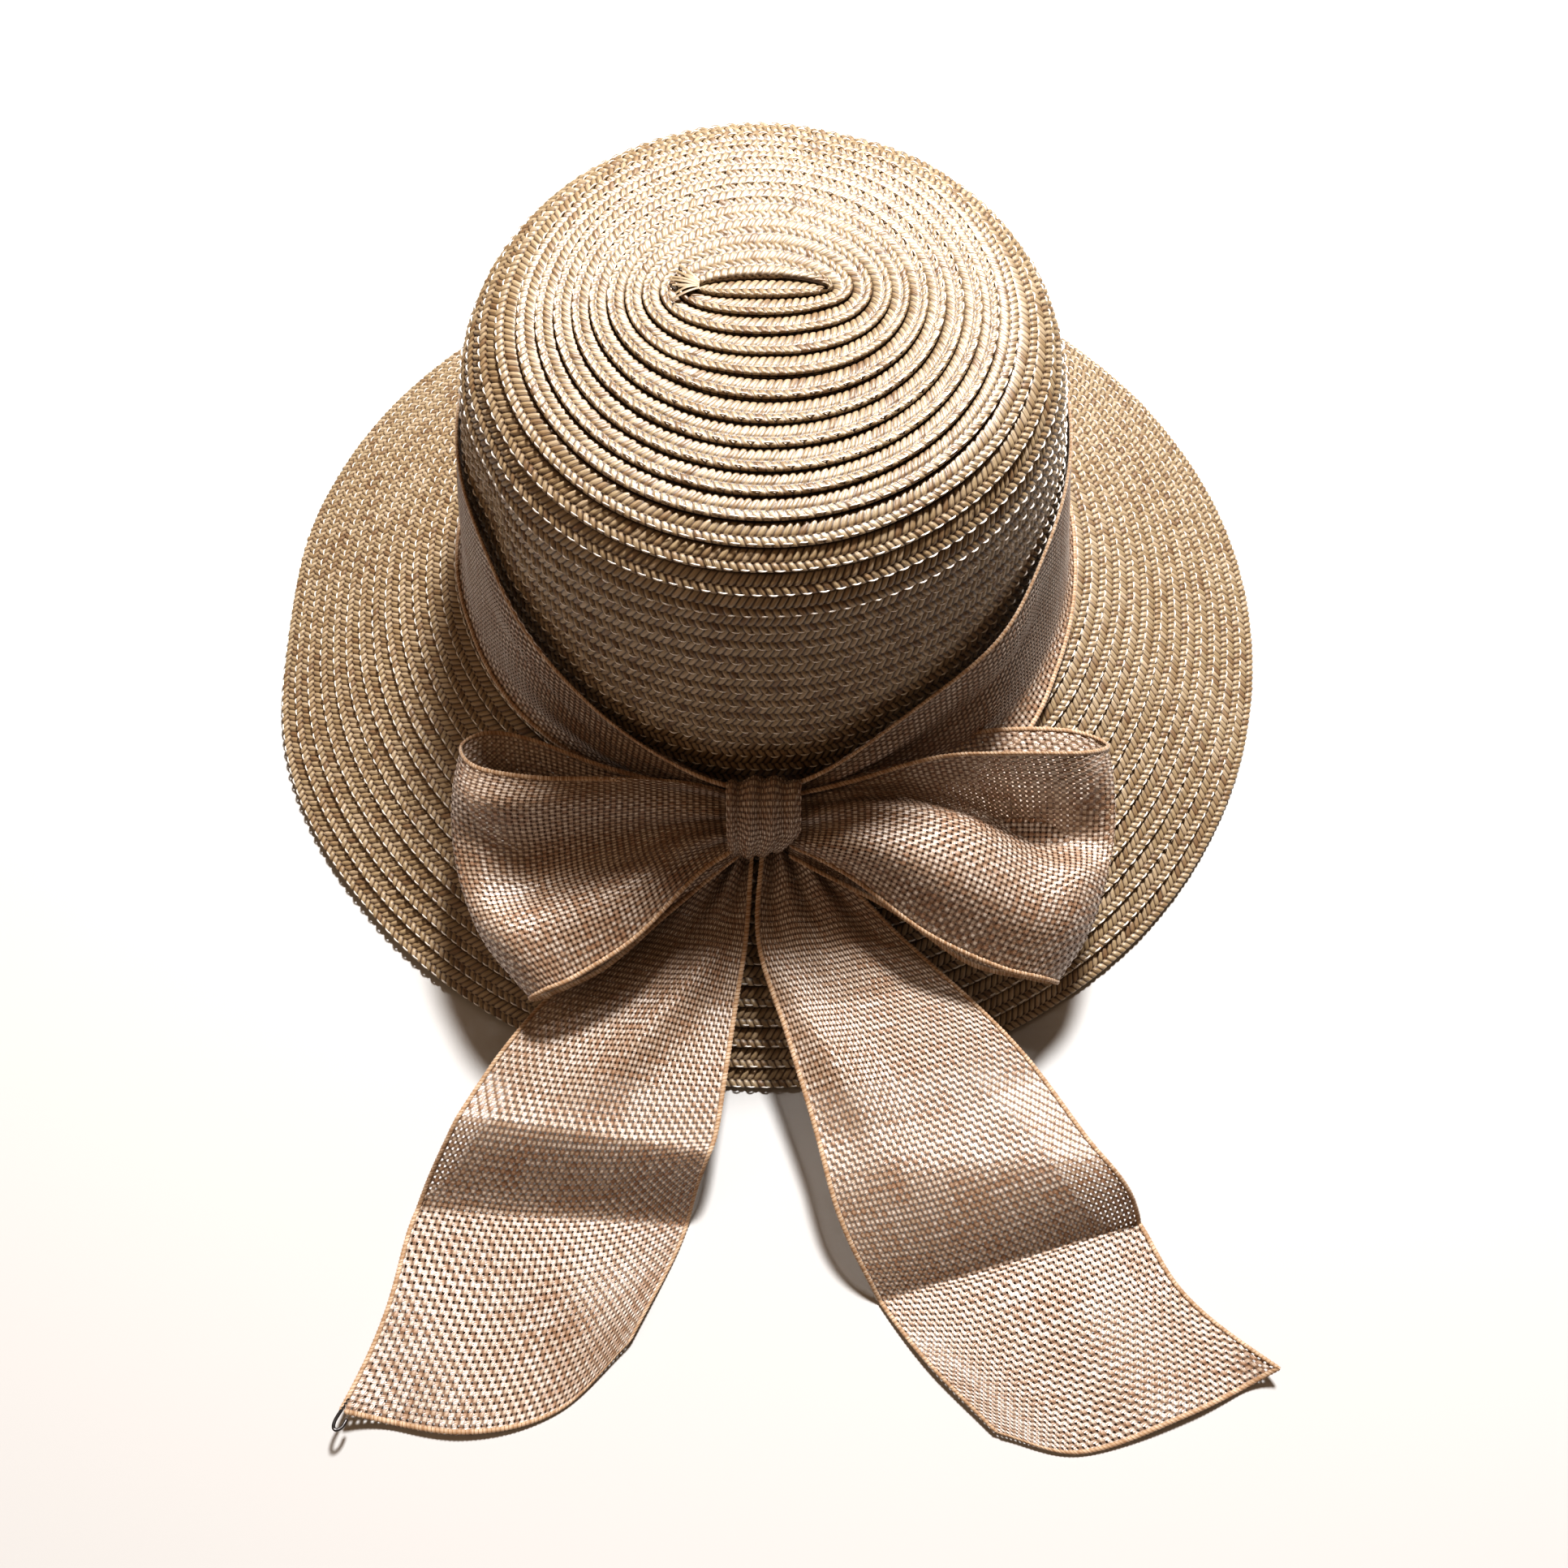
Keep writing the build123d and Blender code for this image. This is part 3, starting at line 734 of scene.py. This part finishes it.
def edge_of(surface, side):
    """Path and directions of one edge: side 0 or 1 across the ribbon, or its far end."""
    fine = np.linspace(0, 1, 400)
    if side == "end":
        strip = np.swapaxes(surface(fine, np.array([0.985, 1.0])), 0, 1)
    else:
        strip = surface(np.array([abs(side - 0.015), side]), fine)
    path = strip[:, 1]
    outward = unit(strip[:, 1] - strip[:, 0])
    normal = unit(np.cross(outward, unit(np.gradient(path, axis=0))))
    return path - outward * EDGE_HALF_WIDTH * 0.9, outward, normal


def ribbon_edges(name, surface, sides, body, node):
    """The overlocked edges of a ribbon piece, as one piece."""
    grids = [overlocked_edge(*edge_of(surface, side)) for side in sides]
    return make_piece(name, join_grids(grids), body, node, edging)


def ribbon_piece(name, surface, body, node, warps=WARP_THREADS):
    """A piece of woven ribbon that follows a surface."""
    return make_piece(name, woven_sheet(surface, warps), body, node, cloth)


# ---- ribbon round the crown

# Height of the ribbon's top edge, (degrees from the knot round to the left, millimetres).
BAND_TOP = np.array([
    (5, 71), (16, 80), (27, 83), (33, 88), (41, 100), (49, 108), (62, 113), (90, 116), (180, 118),
    (270, 114), (300, 107), (318, 99), (330, 93), (338, 90), (346, 84), (355, 71),
])
# Height of its lower edge.
BAND_BOTTOM = np.array([
    (5, 57), (14, 58), (26, 56), (45, 54.5), (90, 54.5),
    (270, 54.5), (300, 53), (322, 52), (340, 55), (355, 57),
])
EDGE_SMOOTHING = 41          # places that each edge height is averaged over
BAND_CLEARANCE = 1.6


def wall_radius(height):
    """Radius of the straw's outer face at a height on the wall or the shoulder."""
    return np.interp(-height, -line_height, line_radius)


def edge_height(outline, turn):
    """The smoothed height of one of the band's edges at turns given in degrees."""
    height = np.interp(turn, outline[:, 0], outline[:, 1])
    kernel = np.hanning(EDGE_SMOOTHING) / np.hanning(EDGE_SMOOTHING).sum()
    return np.convolve(np.pad(height, EDGE_SMOOTHING // 2, mode="edge"), kernel, mode="valid")


def band_surface(across, along):
    """The ribbon round the crown: low and gathered at the knot, high and flat behind."""
    turn = 5 + along * 350
    top = edge_height(BAND_TOP, turn)[:, None]
    bottom = edge_height(BAND_BOTTOM, turn)[:, None]
    height = top * (1 - across) + bottom * across
    from_knot = np.minimum(turn, 360 - turn)
    gather = hump(from_knot, 0, 30)[:, None]
    sag = hump(from_knot, 45, 12)[:, None]
    pleats = 1.8 * gather * (1 + np.sin(across * 5 * np.pi + 0.6 + from_knot[:, None] / 14))
    loose = sag * (3.0 * hump(across, 0.1, 0.25) + 1.2 * np.sin(across * 7))
    flare = 5.0 * hump(turn, 318, 22)[:, None] * across**3
    slack = 0.5 * np.sin(np.radians(turn) * 7 + 1)[:, None] * np.sin(across * 4)
    folded = 2.6 * hump(from_knot, 0, 38)[:, None] / (1 + np.exp((across - 0.42) / 0.04))
    radius = wall_radius(height) + BAND_CLEARANCE + pleats + folded + np.abs(loose) + flare + np.abs(slack)
    azimuth = np.radians(-90 - turn)[:, None]
    return np.stack([radius * np.cos(azimuth), radius * np.sin(azimuth), height], axis=-1)


# ---- bow

# Rows of points across the ribbon, top edge first, from the knot out along the lower layer,
# round the open end and back over the upper layer.
LEFT_LOOP = [
    [(-7, -100, 67), (-7, -103, 65), (-7, -106, 62), (-7, -109, 59), (-7, -111, 56), (-7, -113, 53)],
    [(-43, -90, 65), (-42, -97, 60), (-39, -105, 54), (-36, -113, 50), (-33, -121, 47), (-28, -128, 45)],
    [(-69, -78, 61), (-67, -89, 55), (-64, -101, 48), (-60, -114, 43), (-54, -128, 40), (-46, -142, 38)],
    [(-83, -75, 60), (-83, -87, 54), (-82, -101, 47), (-79, -116, 41), (-73, -132, 36), (-63, -149, 33)],
    [(-90, -80, 61), (-92, -92, 57), (-92, -106, 51), (-89, -120, 45), (-82, -135, 39), (-68, -151, 35)],
    [(-84, -90, 67), (-86, -100, 65), (-86, -109, 54), (-83, -121, 47), (-76, -136, 47), (-63, -150, 40)],
    [(-66, -96, 72), (-69, -104, 68), (-69, -110, 53), (-68, -119, 45), (-62, -132, 50), (-54, -147, 43)],
    [(-45, -98, 75), (-45, -103, 71), (-46, -108, 59), (-45, -115, 53), (-41, -126, 56), (-37, -137, 48)],
    [(-24, -99, 74), (-24, -102, 71), (-24, -106, 64), (-23, -110, 61), (-21, -115, 60), (-19, -119, 54)],
    [(-7, -101, 70), (-7, -103, 68), (-7, -105, 65), (-7, -108, 63), (-7, -110, 61), (-7, -112, 58)],
]
RIGHT_LOOP = [
    [(7, -100, 67), (7, -103, 65), (7, -106, 62), (7, -109, 59), (7, -111, 56), (7, -113, 53)],
    [(36, -88, 67), (37, -96, 61), (38, -104, 55), (38, -112, 49), (37, -119, 45), (36, -125, 42)],
    [(62, -76, 62), (65, -88, 56), (66, -101, 49), (65, -114, 42), (63, -126, 36), (60, -138, 31)],
    [(90, -73, 58), (93, -86, 53), (93, -100, 46), (91, -114, 39), (87, -128, 32), (80, -141, 25)],
    [(102, -79, 60), (104, -90, 55), (104, -104, 49), (101, -118, 42), (96, -131, 34), (87, -143, 27)],
    [(93, -87, 70), (96, -93, 61), (97, -104, 46), (95, -117, 49), (90, -131, 45), (81, -144, 34)],
    [(72, -91, 77), (76, -94, 64), (80, -101, 44), (80, -115, 52), (76, -130, 51), (68, -142, 38)],
    [(50, -92, 77), (53, -95, 67), (57, -99, 57), (59, -108, 62), (55, -123, 59), (47, -134, 44)],
    [(26, -96, 71), (28, -98, 68), (30, -101, 68), (31, -106, 68), (30, -114, 64), (26, -121, 52)],
    [(7, -101, 70), (7, -103, 69), (7, -105, 68), (7, -108, 65), (7, -110, 61), (7, -112, 58)],
]


def pleated(surface, depth, folds, reach):
    """The same surface with pleats that run out of the knot at one or both of its ends."""
    def folded(across, along):
        points = surface(across, along)
        near = np.minimum(along, 1 - along)[:, None]
        wave = np.sin(across * folds * 2 * np.pi + 0.7 + 6 * near)
        shift = depth * hump(near, 0, reach) * np.clip(near / 0.04, 0.25, 1) * wave
        return points + sheet_normals(points) * shift[..., None]
    return folded


def bow_loop(side, stations):
    surface = pleated(lofted(stations), 1.6, 3, 0.16)
    piece = ribbon_piece(f"bow_loop_{side}_cloth", surface, "hat", f"bow_loop_{side}")
    edges = ribbon_edges(f"bow_loop_{side}_overlock", surface, (0, 1), "hat", f"loop_{side}_edging")


# Plan of each tail as its two long edges and its end, from the knot outwards.
TAILS = {
    "left": {
        "left_edge": [(-13, -108), (-36, -123), (-60, -141), (-78, -162), (-91, -184), (-103, -205),
                      (-108, -233), (-117, -262)],
        "right_edge": [(-3, -108), (-4.6, -129), (-8, -150), (-11, -171), (-14, -189), (-20, -202),
                       (-26, -218), (-38, -242)],
        "end": [(-117, -262), (-84, -267), (-58, -261), (-38, -242)],
    },
    "right": {
        "left_edge": [(-1, -108), (-2.4, -132), (6, -158), (14, -184), (21, -209), (31, -227),
                      (46, -247), (66, -267)],
        "right_edge": [(13, -108), (37, -126), (60, -145), (79, -165), (96, -190), (110, -206),
                       (122, -228), (146, -250)],
        "end": [(66, -267), (89, -272), (120, -262), (146, -250)],
    },
}
# Height of the cloth on the brim, by distance from the hat's axis.
TAIL_ON_BRIM = [(104, 51), (118, 41), (134, 31), (150, 26), (168, 23.5), (188, 21), (230, 20)]
TAIL_LYING = 0.9             # height of the cloth that lies on the floor
TAIL_GATHER = 2.2            # height of the pleats at the knot
TAIL_FOLD = 4.0              # height of the soft fold along each tail
TAIL_CURL = 6.0              # height of each tail's raised corner
TAIL_OVER_BRIM = 1.6         # least height of the cloth over the straw
RIM_RADIUS = 168             # the brim's rim, which the cloth hangs over
# In these each tail's values are functions of the places across and along it.
FOLD_LINE = {
    "left": lambda along: 0.98 - 1.1 * along,
    "right": lambda along: 0.02 + 0.5 * along,
}
TO_CORNER = {
    "left": lambda across: 1 - across / 0.16,
    "right": lambda across: (across - 0.84) / 0.16,
}
# Past the rim the cloth drops to the floor between two lines across it, each given as (x, y).
DROP_START = {"left": [(-90, -181), (-20, -191)], "right": [(38, -193), (110, -192)]}
DROP_END = {"left": [(-90, -205), (-20, -209)], "right": [(38, -229), (110, -208)]}
DROP_SHAPE = {"left": (1.5, 1.4), "right": (1.9, 1.0)}


def line_y(line, x):
    """y on a straight line through two points, at x."""
    (x1, y1), (x2, y2) = line
    return y1 + (x - x1) * (y2 - y1) / (x2 - x1)


def tail_plan(side, across, along):
    """The outline of a tail as seen from above, filled with rows of points."""
    plan = TAILS[side]
    left = smooth_through(plan["left_edge"], along)
    right = smooth_through(plan["right_edge"], along)
    share = across[None, :, None]
    flat = left[:, None, :] * (1 - share) + right[:, None, :] * share
    end = smooth_through(plan["end"], across)
    straight = end[0] * (1 - across[:, None]) + end[-1] * across[:, None]
    return flat + (end - straight)[None, :, :] * (along**3)[:, None, None]


def tail_surface(side):
    """A tail's cloth: gathered at the knot, over the brim, down past the rim and out on the floor."""
    def surface(across, along):
        flat = tail_plan(side, across, along)
        x, y = flat[..., 0], flat[..., 1]
        near = along[:, None]
        radius = np.hypot(x, y)
        level = np.interp(radius, *np.transpose(TAIL_ON_BRIM))
        start, end = line_y(DROP_START[side], x), line_y(DROP_END[side], x)
        fall = np.clip((start - y) / (start - end), 0, 1)
        early, late = DROP_SHAPE[side]
        height = TAIL_LYING + (level - TAIL_LYING) * (1 - fall**early) ** late
        gather = hump(near, 0, 0.14)
        height += TAIL_GATHER * gather * (1 + np.sin(across * 6 * np.pi + 1.2 + 5 * near))
        fold = hump(across, FOLD_LINE[side](near), 0.13)
        height += TAIL_FOLD * fold * hump(near, 0.33, 0.16)
        lying = np.clip((end - y) / 25, 0, 1)
        height += lying * (0.7 + 0.7 * np.sin(x / 11 + y / 17))
        curl = np.clip(TO_CORNER[side](across), 0, 1) ** 2 * np.clip((near - 0.88) / 0.12, 0, 1) ** 2
        height += TAIL_CURL * curl
        on_brim = line_radius > 100
        over_brim = np.interp(radius, line_radius[on_brim], line_height[on_brim])
        height = np.maximum(height, np.where(radius < RIM_RADIUS, over_brim + TAIL_OVER_BRIM, TAIL_LYING))
        return np.concatenate([flat, height[..., None]], axis=-1)
    return surface


def bow_tail(side):
    surface = tail_surface(side)
    body = f"tail_{side}"
    piece = ribbon_piece(f"bow_tail_{side}_cloth", surface, body, f"bow_tail_{side}")
    edges = ribbon_edges(f"bow_tail_{side}_overlock", surface, (0, 1, "end"), body, f"tail_{side}_edging")


KNOT_WARPS = 34
KNOT_MIDDLE = (-107.0, 65.0)   # y and z
KNOT_HALF_WIDTH = 10.8
KNOT_HALF_DEPTH = 6.5
KNOT_HALF_HEIGHT = 13.0


def knot_surface(across, along):
    """The short cross piece: over the front of the knot, round under it and up behind."""
    angle = ((along * 1.1 - 0.3) * 2 * np.pi)[:, None]
    sideways = (across - 0.5) * 2
    up = (KNOT_HALF_HEIGHT * np.cos(angle) + 1.2) * (1 - 0.1 * sideways**2)
    out = KNOT_HALF_DEPTH * np.sin(angle) * (1 - 0.25 * sideways**2)
    below = np.clip(-np.cos(angle), 0, 1)
    half_width = KNOT_HALF_WIDTH - 3.6 * below
    pleats = 0.9 * np.sin(across * 7 * np.pi + 0.8 * np.sin(angle))
    side_fold = 1.3 * hump(across, 0.16, 0.05)
    grow = 1 + (pleats - side_fold) / 12
    x = half_width * sideways - 2.6 * below
    y = KNOT_MIDDLE[0] - out * grow + up * 0.42
    z = KNOT_MIDDLE[1] + up * 0.9 * grow + 2.6 * below * sideways
    return np.stack([x, y, z], axis=-1)


knot = ribbon_piece("bow_knot_cloth", knot_surface, "hat", "bow_knot", KNOT_WARPS)
band = ribbon_piece("ribbon_band_cloth", band_surface, "hat", "ribbon_band")
band_edges = ribbon_edges("ribbon_band_overlock", band_surface, (0, 1), "hat", "ribbon_band_edging")
bow_loop("left", LEFT_LOOP)
bow_loop("right", RIGHT_LOOP)
bow_tail("left")
bow_tail("right")

# ---- sewing, sweatband and wire

THREAD_RADIUS = 0.25
STITCH_STROKES = 1.25        # strokes of braid that a stitch covers
STITCH_PLACE = 0.90          # across a row
STITCH_RISE = 0.42           # height of a stitch's middle
STITCH_POINTS = 5
STITCH_SIDES = 5


def tube_grid(path, radius, sides):
    """A round tube through points, drawn in at both ends."""
    path = np.asarray(path, dtype=float)
    forward = unit(np.gradient(path, axis=0))
    up = unit(np.cross(forward, np.roll(forward, 1, axis=1) + [0.3, 0.1, 0.7]))
    side = np.cross(forward, up)
    angle = np.arange(sides + 1) / sides * 2 * np.pi
    size = np.full(len(path), radius)
    size[[0, -1]] *= 0.15
    ring = np.cos(angle)[None, :, None] * up[:, None, :] + np.sin(angle)[None, :, None] * side[:, None, :]
    points = path[:, None, :] + ring * size[:, None, None]
    return as_grid(points, angle / (2 * np.pi), run_length(path)[:, None])


def thread_piece(node, grids):
    make_piece(f"{node}_thread", join_grids(grids), "hat", node, thread)


def row_stitches(node, first_turn, last_turn):
    """Running stitches in pale thread along the outer edge of every row."""
    _, strokes, turns, length = braid_turns(first_turn, last_turn)
    grids = []
    for stroke in range(0, strokes - 2, 2):
        marks = stroke + 0.35 + np.linspace(0, STITCH_STROKES + noise.uniform(-0.15, 0.15), STITCH_POINTS)
        turn = np.interp(marks, length, turns)
        arch = np.sin(np.linspace(0, np.pi, STITCH_POINTS))
        inner = row_edge(turn)
        distance = inner + (STITCH_PLACE + noise.uniform(-0.02, 0.02)) * (row_edge(turn + 1) - inner)
        path = straw_place(distance, turn * 2 * np.pi + TURN_START, STITCH_RISE * arch)
        grids.append(tube_grid(path, THREAD_RADIUS, STITCH_SIDES))
    thread_piece(node, grids)


def around(radius, height, degrees):
    angle = math.radians(degrees)
    return np.array((radius * math.cos(angle), radius * math.sin(angle), height))


WALL_STITCH_RADIUS = 0.26
WALL_STITCH_ARCH = 0.5


def wall_stitches(node, radius, height, places, run, rise, inwards):
    """Arched stitches on the wall, each with a run in degrees and a rise in millimetres."""
    share = np.linspace(0, 1, 9)[:, None]
    grids = []
    for degrees in places:
        start = around(radius, height - rise / 2, degrees - run / 2)
        end = around(radius, height + rise / 2, degrees + run / 2)
        arch = WALL_STITCH_ARCH * np.sin(share * np.pi) * around(-1 if inwards else 1, 0, degrees)
        path = start * (1 - share) + end * share + arch
        grids.append(tube_grid(path, WALL_STITCH_RADIUS, 6))
    thread_piece(node, grids)


row_stitches("crown_stitching", START_ROWS, CROWN_ROWS)
row_stitches("brim_stitching", CROWN_ROWS, ROWS - 0.4)

SWEATBAND_GAP = 3.1          # from the straw's outer line to the tape
SWEATBAND_THICKNESS = 1.0
SWEATBAND_WIDTH = 26
SWEATBAND_STITCHES = 48
TAPE_THREAD = 0.7            # pitch of the tape's threads
sweat_low, sweat_high = (np.array(corner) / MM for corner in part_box("sweatband"))
sweat_radius = sweat_high[0]
tack_low, tack_high = (np.array(corner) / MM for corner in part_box("ribbon_tacks"))


def sweatband():
    """A woven cotton tape with rolled edges inside the head opening."""
    turns = np.linspace(0, 1, 361)[:, None] * 2 * np.pi
    section = np.array([
        (0.0, 0.05), (0.12, 0.0), (0.35, 0.03), (0.65, 0.03), (0.88, 0.0), (1.0, 0.05),
        (1.0, 0.95), (0.9, 1.0), (0.5, 0.9), (0.1, 1.0), (0.0, 0.95), (0.0, 0.05),
    ])
    height = sweat_low[2] + section[:, 0] * (sweat_high[2] - sweat_low[2])
    outer = wall_radius(height) - SWEATBAND_GAP
    ripple = 0.25 * np.sin(turns * 17) * np.sin(section[:, 0] * np.pi)
    radius = outer - section[:, 1] * SWEATBAND_THICKNESS - np.abs(ripple)
    x, y = radius * np.cos(turns), radius * np.sin(turns)
    points = np.stack(np.broadcast_arrays(x, y, height), axis=-1)
    across = section[:, 0] * SWEATBAND_WIDTH / TAPE_THREAD
    grid = as_grid(points, across, turns * sweat_radius / TAPE_THREAD)
    tape = make_piece("sweatband_tape", grid, "hat", "sweatband", tape_material())
    weld(tape)


def tape_material():
    """Fine cotton twill."""
    shader = Shader("sweatband_cloth", roughness=0.85, specular=0.2, sheen=0.3)
    across, along = shader.pattern()
    rib = shader.math("PINGPONG", shader.math("ADD", shader.times(across, 0.5), along), 0.5)
    mottled = shader.noise(shader.position(), 90.0, 3.0)
    shade = shader.mix(shader.step(mottled, 0.3, 0.7), (0.62, 0.53, 0.42), (0.72, 0.64, 0.53))
    shade = shader.mix(shader.times(rib, 0.6), shade, (0.36, 0.28, 0.20))
    return shader.finish(shade, rib, 0.1)


sweatband()
seam_height = sweat_low[2] + 3
seam_radius = wall_radius(seam_height) - SWEATBAND_GAP - SWEATBAND_THICKNESS
seam_places = np.arange(SWEATBAND_STITCHES) * 360 / SWEATBAND_STITCHES
wall_stitches("sweatband_stitching", seam_radius, seam_height, seam_places, 3.2, 0.0, True)
tack_height = (tack_low[2] + tack_high[2]) / 2
tack_places = [degrees + twin for degrees in (20, 90, 160) for twin in (0, 1.2)]
wall_stitches("ribbon_tacks", wall_radius(tack_height) + 2.1, tack_height, tack_places, 0.5, 5.0, False)


def wire_material():
    shader = Shader("edge_wire", roughness=0.35, specular=0.5)
    shader.surface.inputs["Metallic"].default_value = 0.8
    mottled = shader.noise(shader.position(), 900.0, 3.0)
    shade = shader.mix(mottled, (0.05, 0.05, 0.055), (0.16, 0.15, 0.15))
    return shader.finish(shade, mottled, 0.05)


# The wire's path from the tail's corner: (along the edge, inwards), in millimetres.
WIRE_PATH = [(-5.0, 0.2), (-1.0, 0.1), (2.4, -0.1), (4.6, 0.5), (5.4, 1.7), (4.4, 2.8), (1.8, 2.9)]
WIRE_RADIUS = 0.5


def wire_end():
    """The bare end of the edge wire sticks out of the left tail's corner and turns back on itself."""
    edge, outward, _ = edge_of(tail_surface("left"), 0)
    corner = edge[-1]
    onward = unit(corner - edge[-8])
    turns = np.array([corner + ahead * onward - inwards * outward[-1] for ahead, inwards in WIRE_PATH])
    turns[:, 2] = np.maximum(turns[:, 2], WIRE_RADIUS + 0.1)
    path = smooth_through(turns, np.linspace(0, 1, 48))
    grid = tube_grid(path, WIRE_RADIUS, 10)
    make_piece("tail_wire_hook", grid, "tail_left", "tail_wire_end", wire_material())


wire_end()

# ---- floor, light and camera

FLOOR_RADIUS = 0.9
FLOOR_SIDES = 96


def floor():
    """A pale disc."""
    turns = np.arange(FLOOR_SIDES) / FLOOR_SIDES * 2 * math.pi
    rim = [(FLOOR_RADIUS * math.cos(turn), FLOOR_RADIUS * math.sin(turn), 0) for turn in turns]
    mesh = bpy.data.meshes.new("floor")
    mesh.from_pydata(rim, [], [range(FLOOR_SIDES)])
    disc = bpy.data.objects.new("floor", mesh)
    bpy.context.scene.collection.objects.link(disc)
    shader = Shader("floor", roughness=0.9, specular=0.1)
    shader.surface.inputs["Base Color"].default_value = (0.58, 0.59, 0.60, 1)
    mesh.materials.append(shader.material)


def area_light(name, place, target, size, power, colour):
    light = bpy.data.lights.new(name, "AREA")
    light.shape = "DISK"
    light.size = size
    light.energy = power
    light.color = colour
    lamp = bpy.data.objects.new(name, light)
    bpy.context.scene.collection.objects.link(lamp)
    lamp.location = place
    direction = np.array(target) - np.array(place)
    lamp.rotation_euler = look_along(direction)


def look_along(direction):
    """Rotation that points a lamp or a camera along a direction, with no roll."""
    x, y, z = direction
    turn = math.atan2(x, y)
    tilt = math.atan2(z, math.hypot(x, y))
    return (math.pi / 2 + tilt, 0, -turn)


def studio_world():
    """Dim warm light from all round, in front of a pale backdrop that only the camera sees."""
    world = bpy.data.worlds.new("studio")
    world.use_nodes = True
    nodes, links = world.node_tree.nodes, world.node_tree.links
    glow = nodes["Background"]
    glow.inputs["Color"].default_value = (1, 0.66, 0.41, 1)
    glow.inputs["Strength"].default_value = 0.14
    backdrop = nodes.new("ShaderNodeBackground")
    backdrop.inputs["Color"].default_value = (0.80, 0.80, 0.80, 1)
    seen = nodes.new("ShaderNodeLightPath")
    choice = nodes.new("ShaderNodeMixShader")
    links.new(seen.outputs["Is Camera Ray"], choice.inputs[0])
    links.new(glow.outputs[0], choice.inputs[1])
    links.new(backdrop.outputs[0], choice.inputs[2])
    links.new(choice.outputs[0], nodes["World Output"].inputs["Surface"])
    return world


def lights():
    area_light("key", (0.20, 0.57, 1.33), (0, -0.04, 0.08), 0.24, 31.5, (1.0, 0.975, 0.95))
    area_light("fill", (-0.9, -0.5, 0.9), (0, -0.05, 0.05), 0.9, 1.4, (1.0, 0.74, 0.52))
    bpy.context.scene.world = studio_world()
    bpy.context.scene.view_settings.view_transform = "Standard"
    bpy.context.scene.view_settings.look = "High Contrast"


def camera():
    data = bpy.data.cameras.new("camera")
    data.angle = math.radians(47.79)
    view = bpy.data.objects.new("camera", data)
    bpy.context.scene.collection.objects.link(view)
    view.location = (0.0058, -0.3265, 0.5254)
    elevation = math.radians(63.33)
    view.rotation_euler = look_along((0, math.cos(elevation), -math.sin(elevation)))
    data.clip_start = 0.01
    bpy.context.scene.camera = view


floor()
lights()
camera()
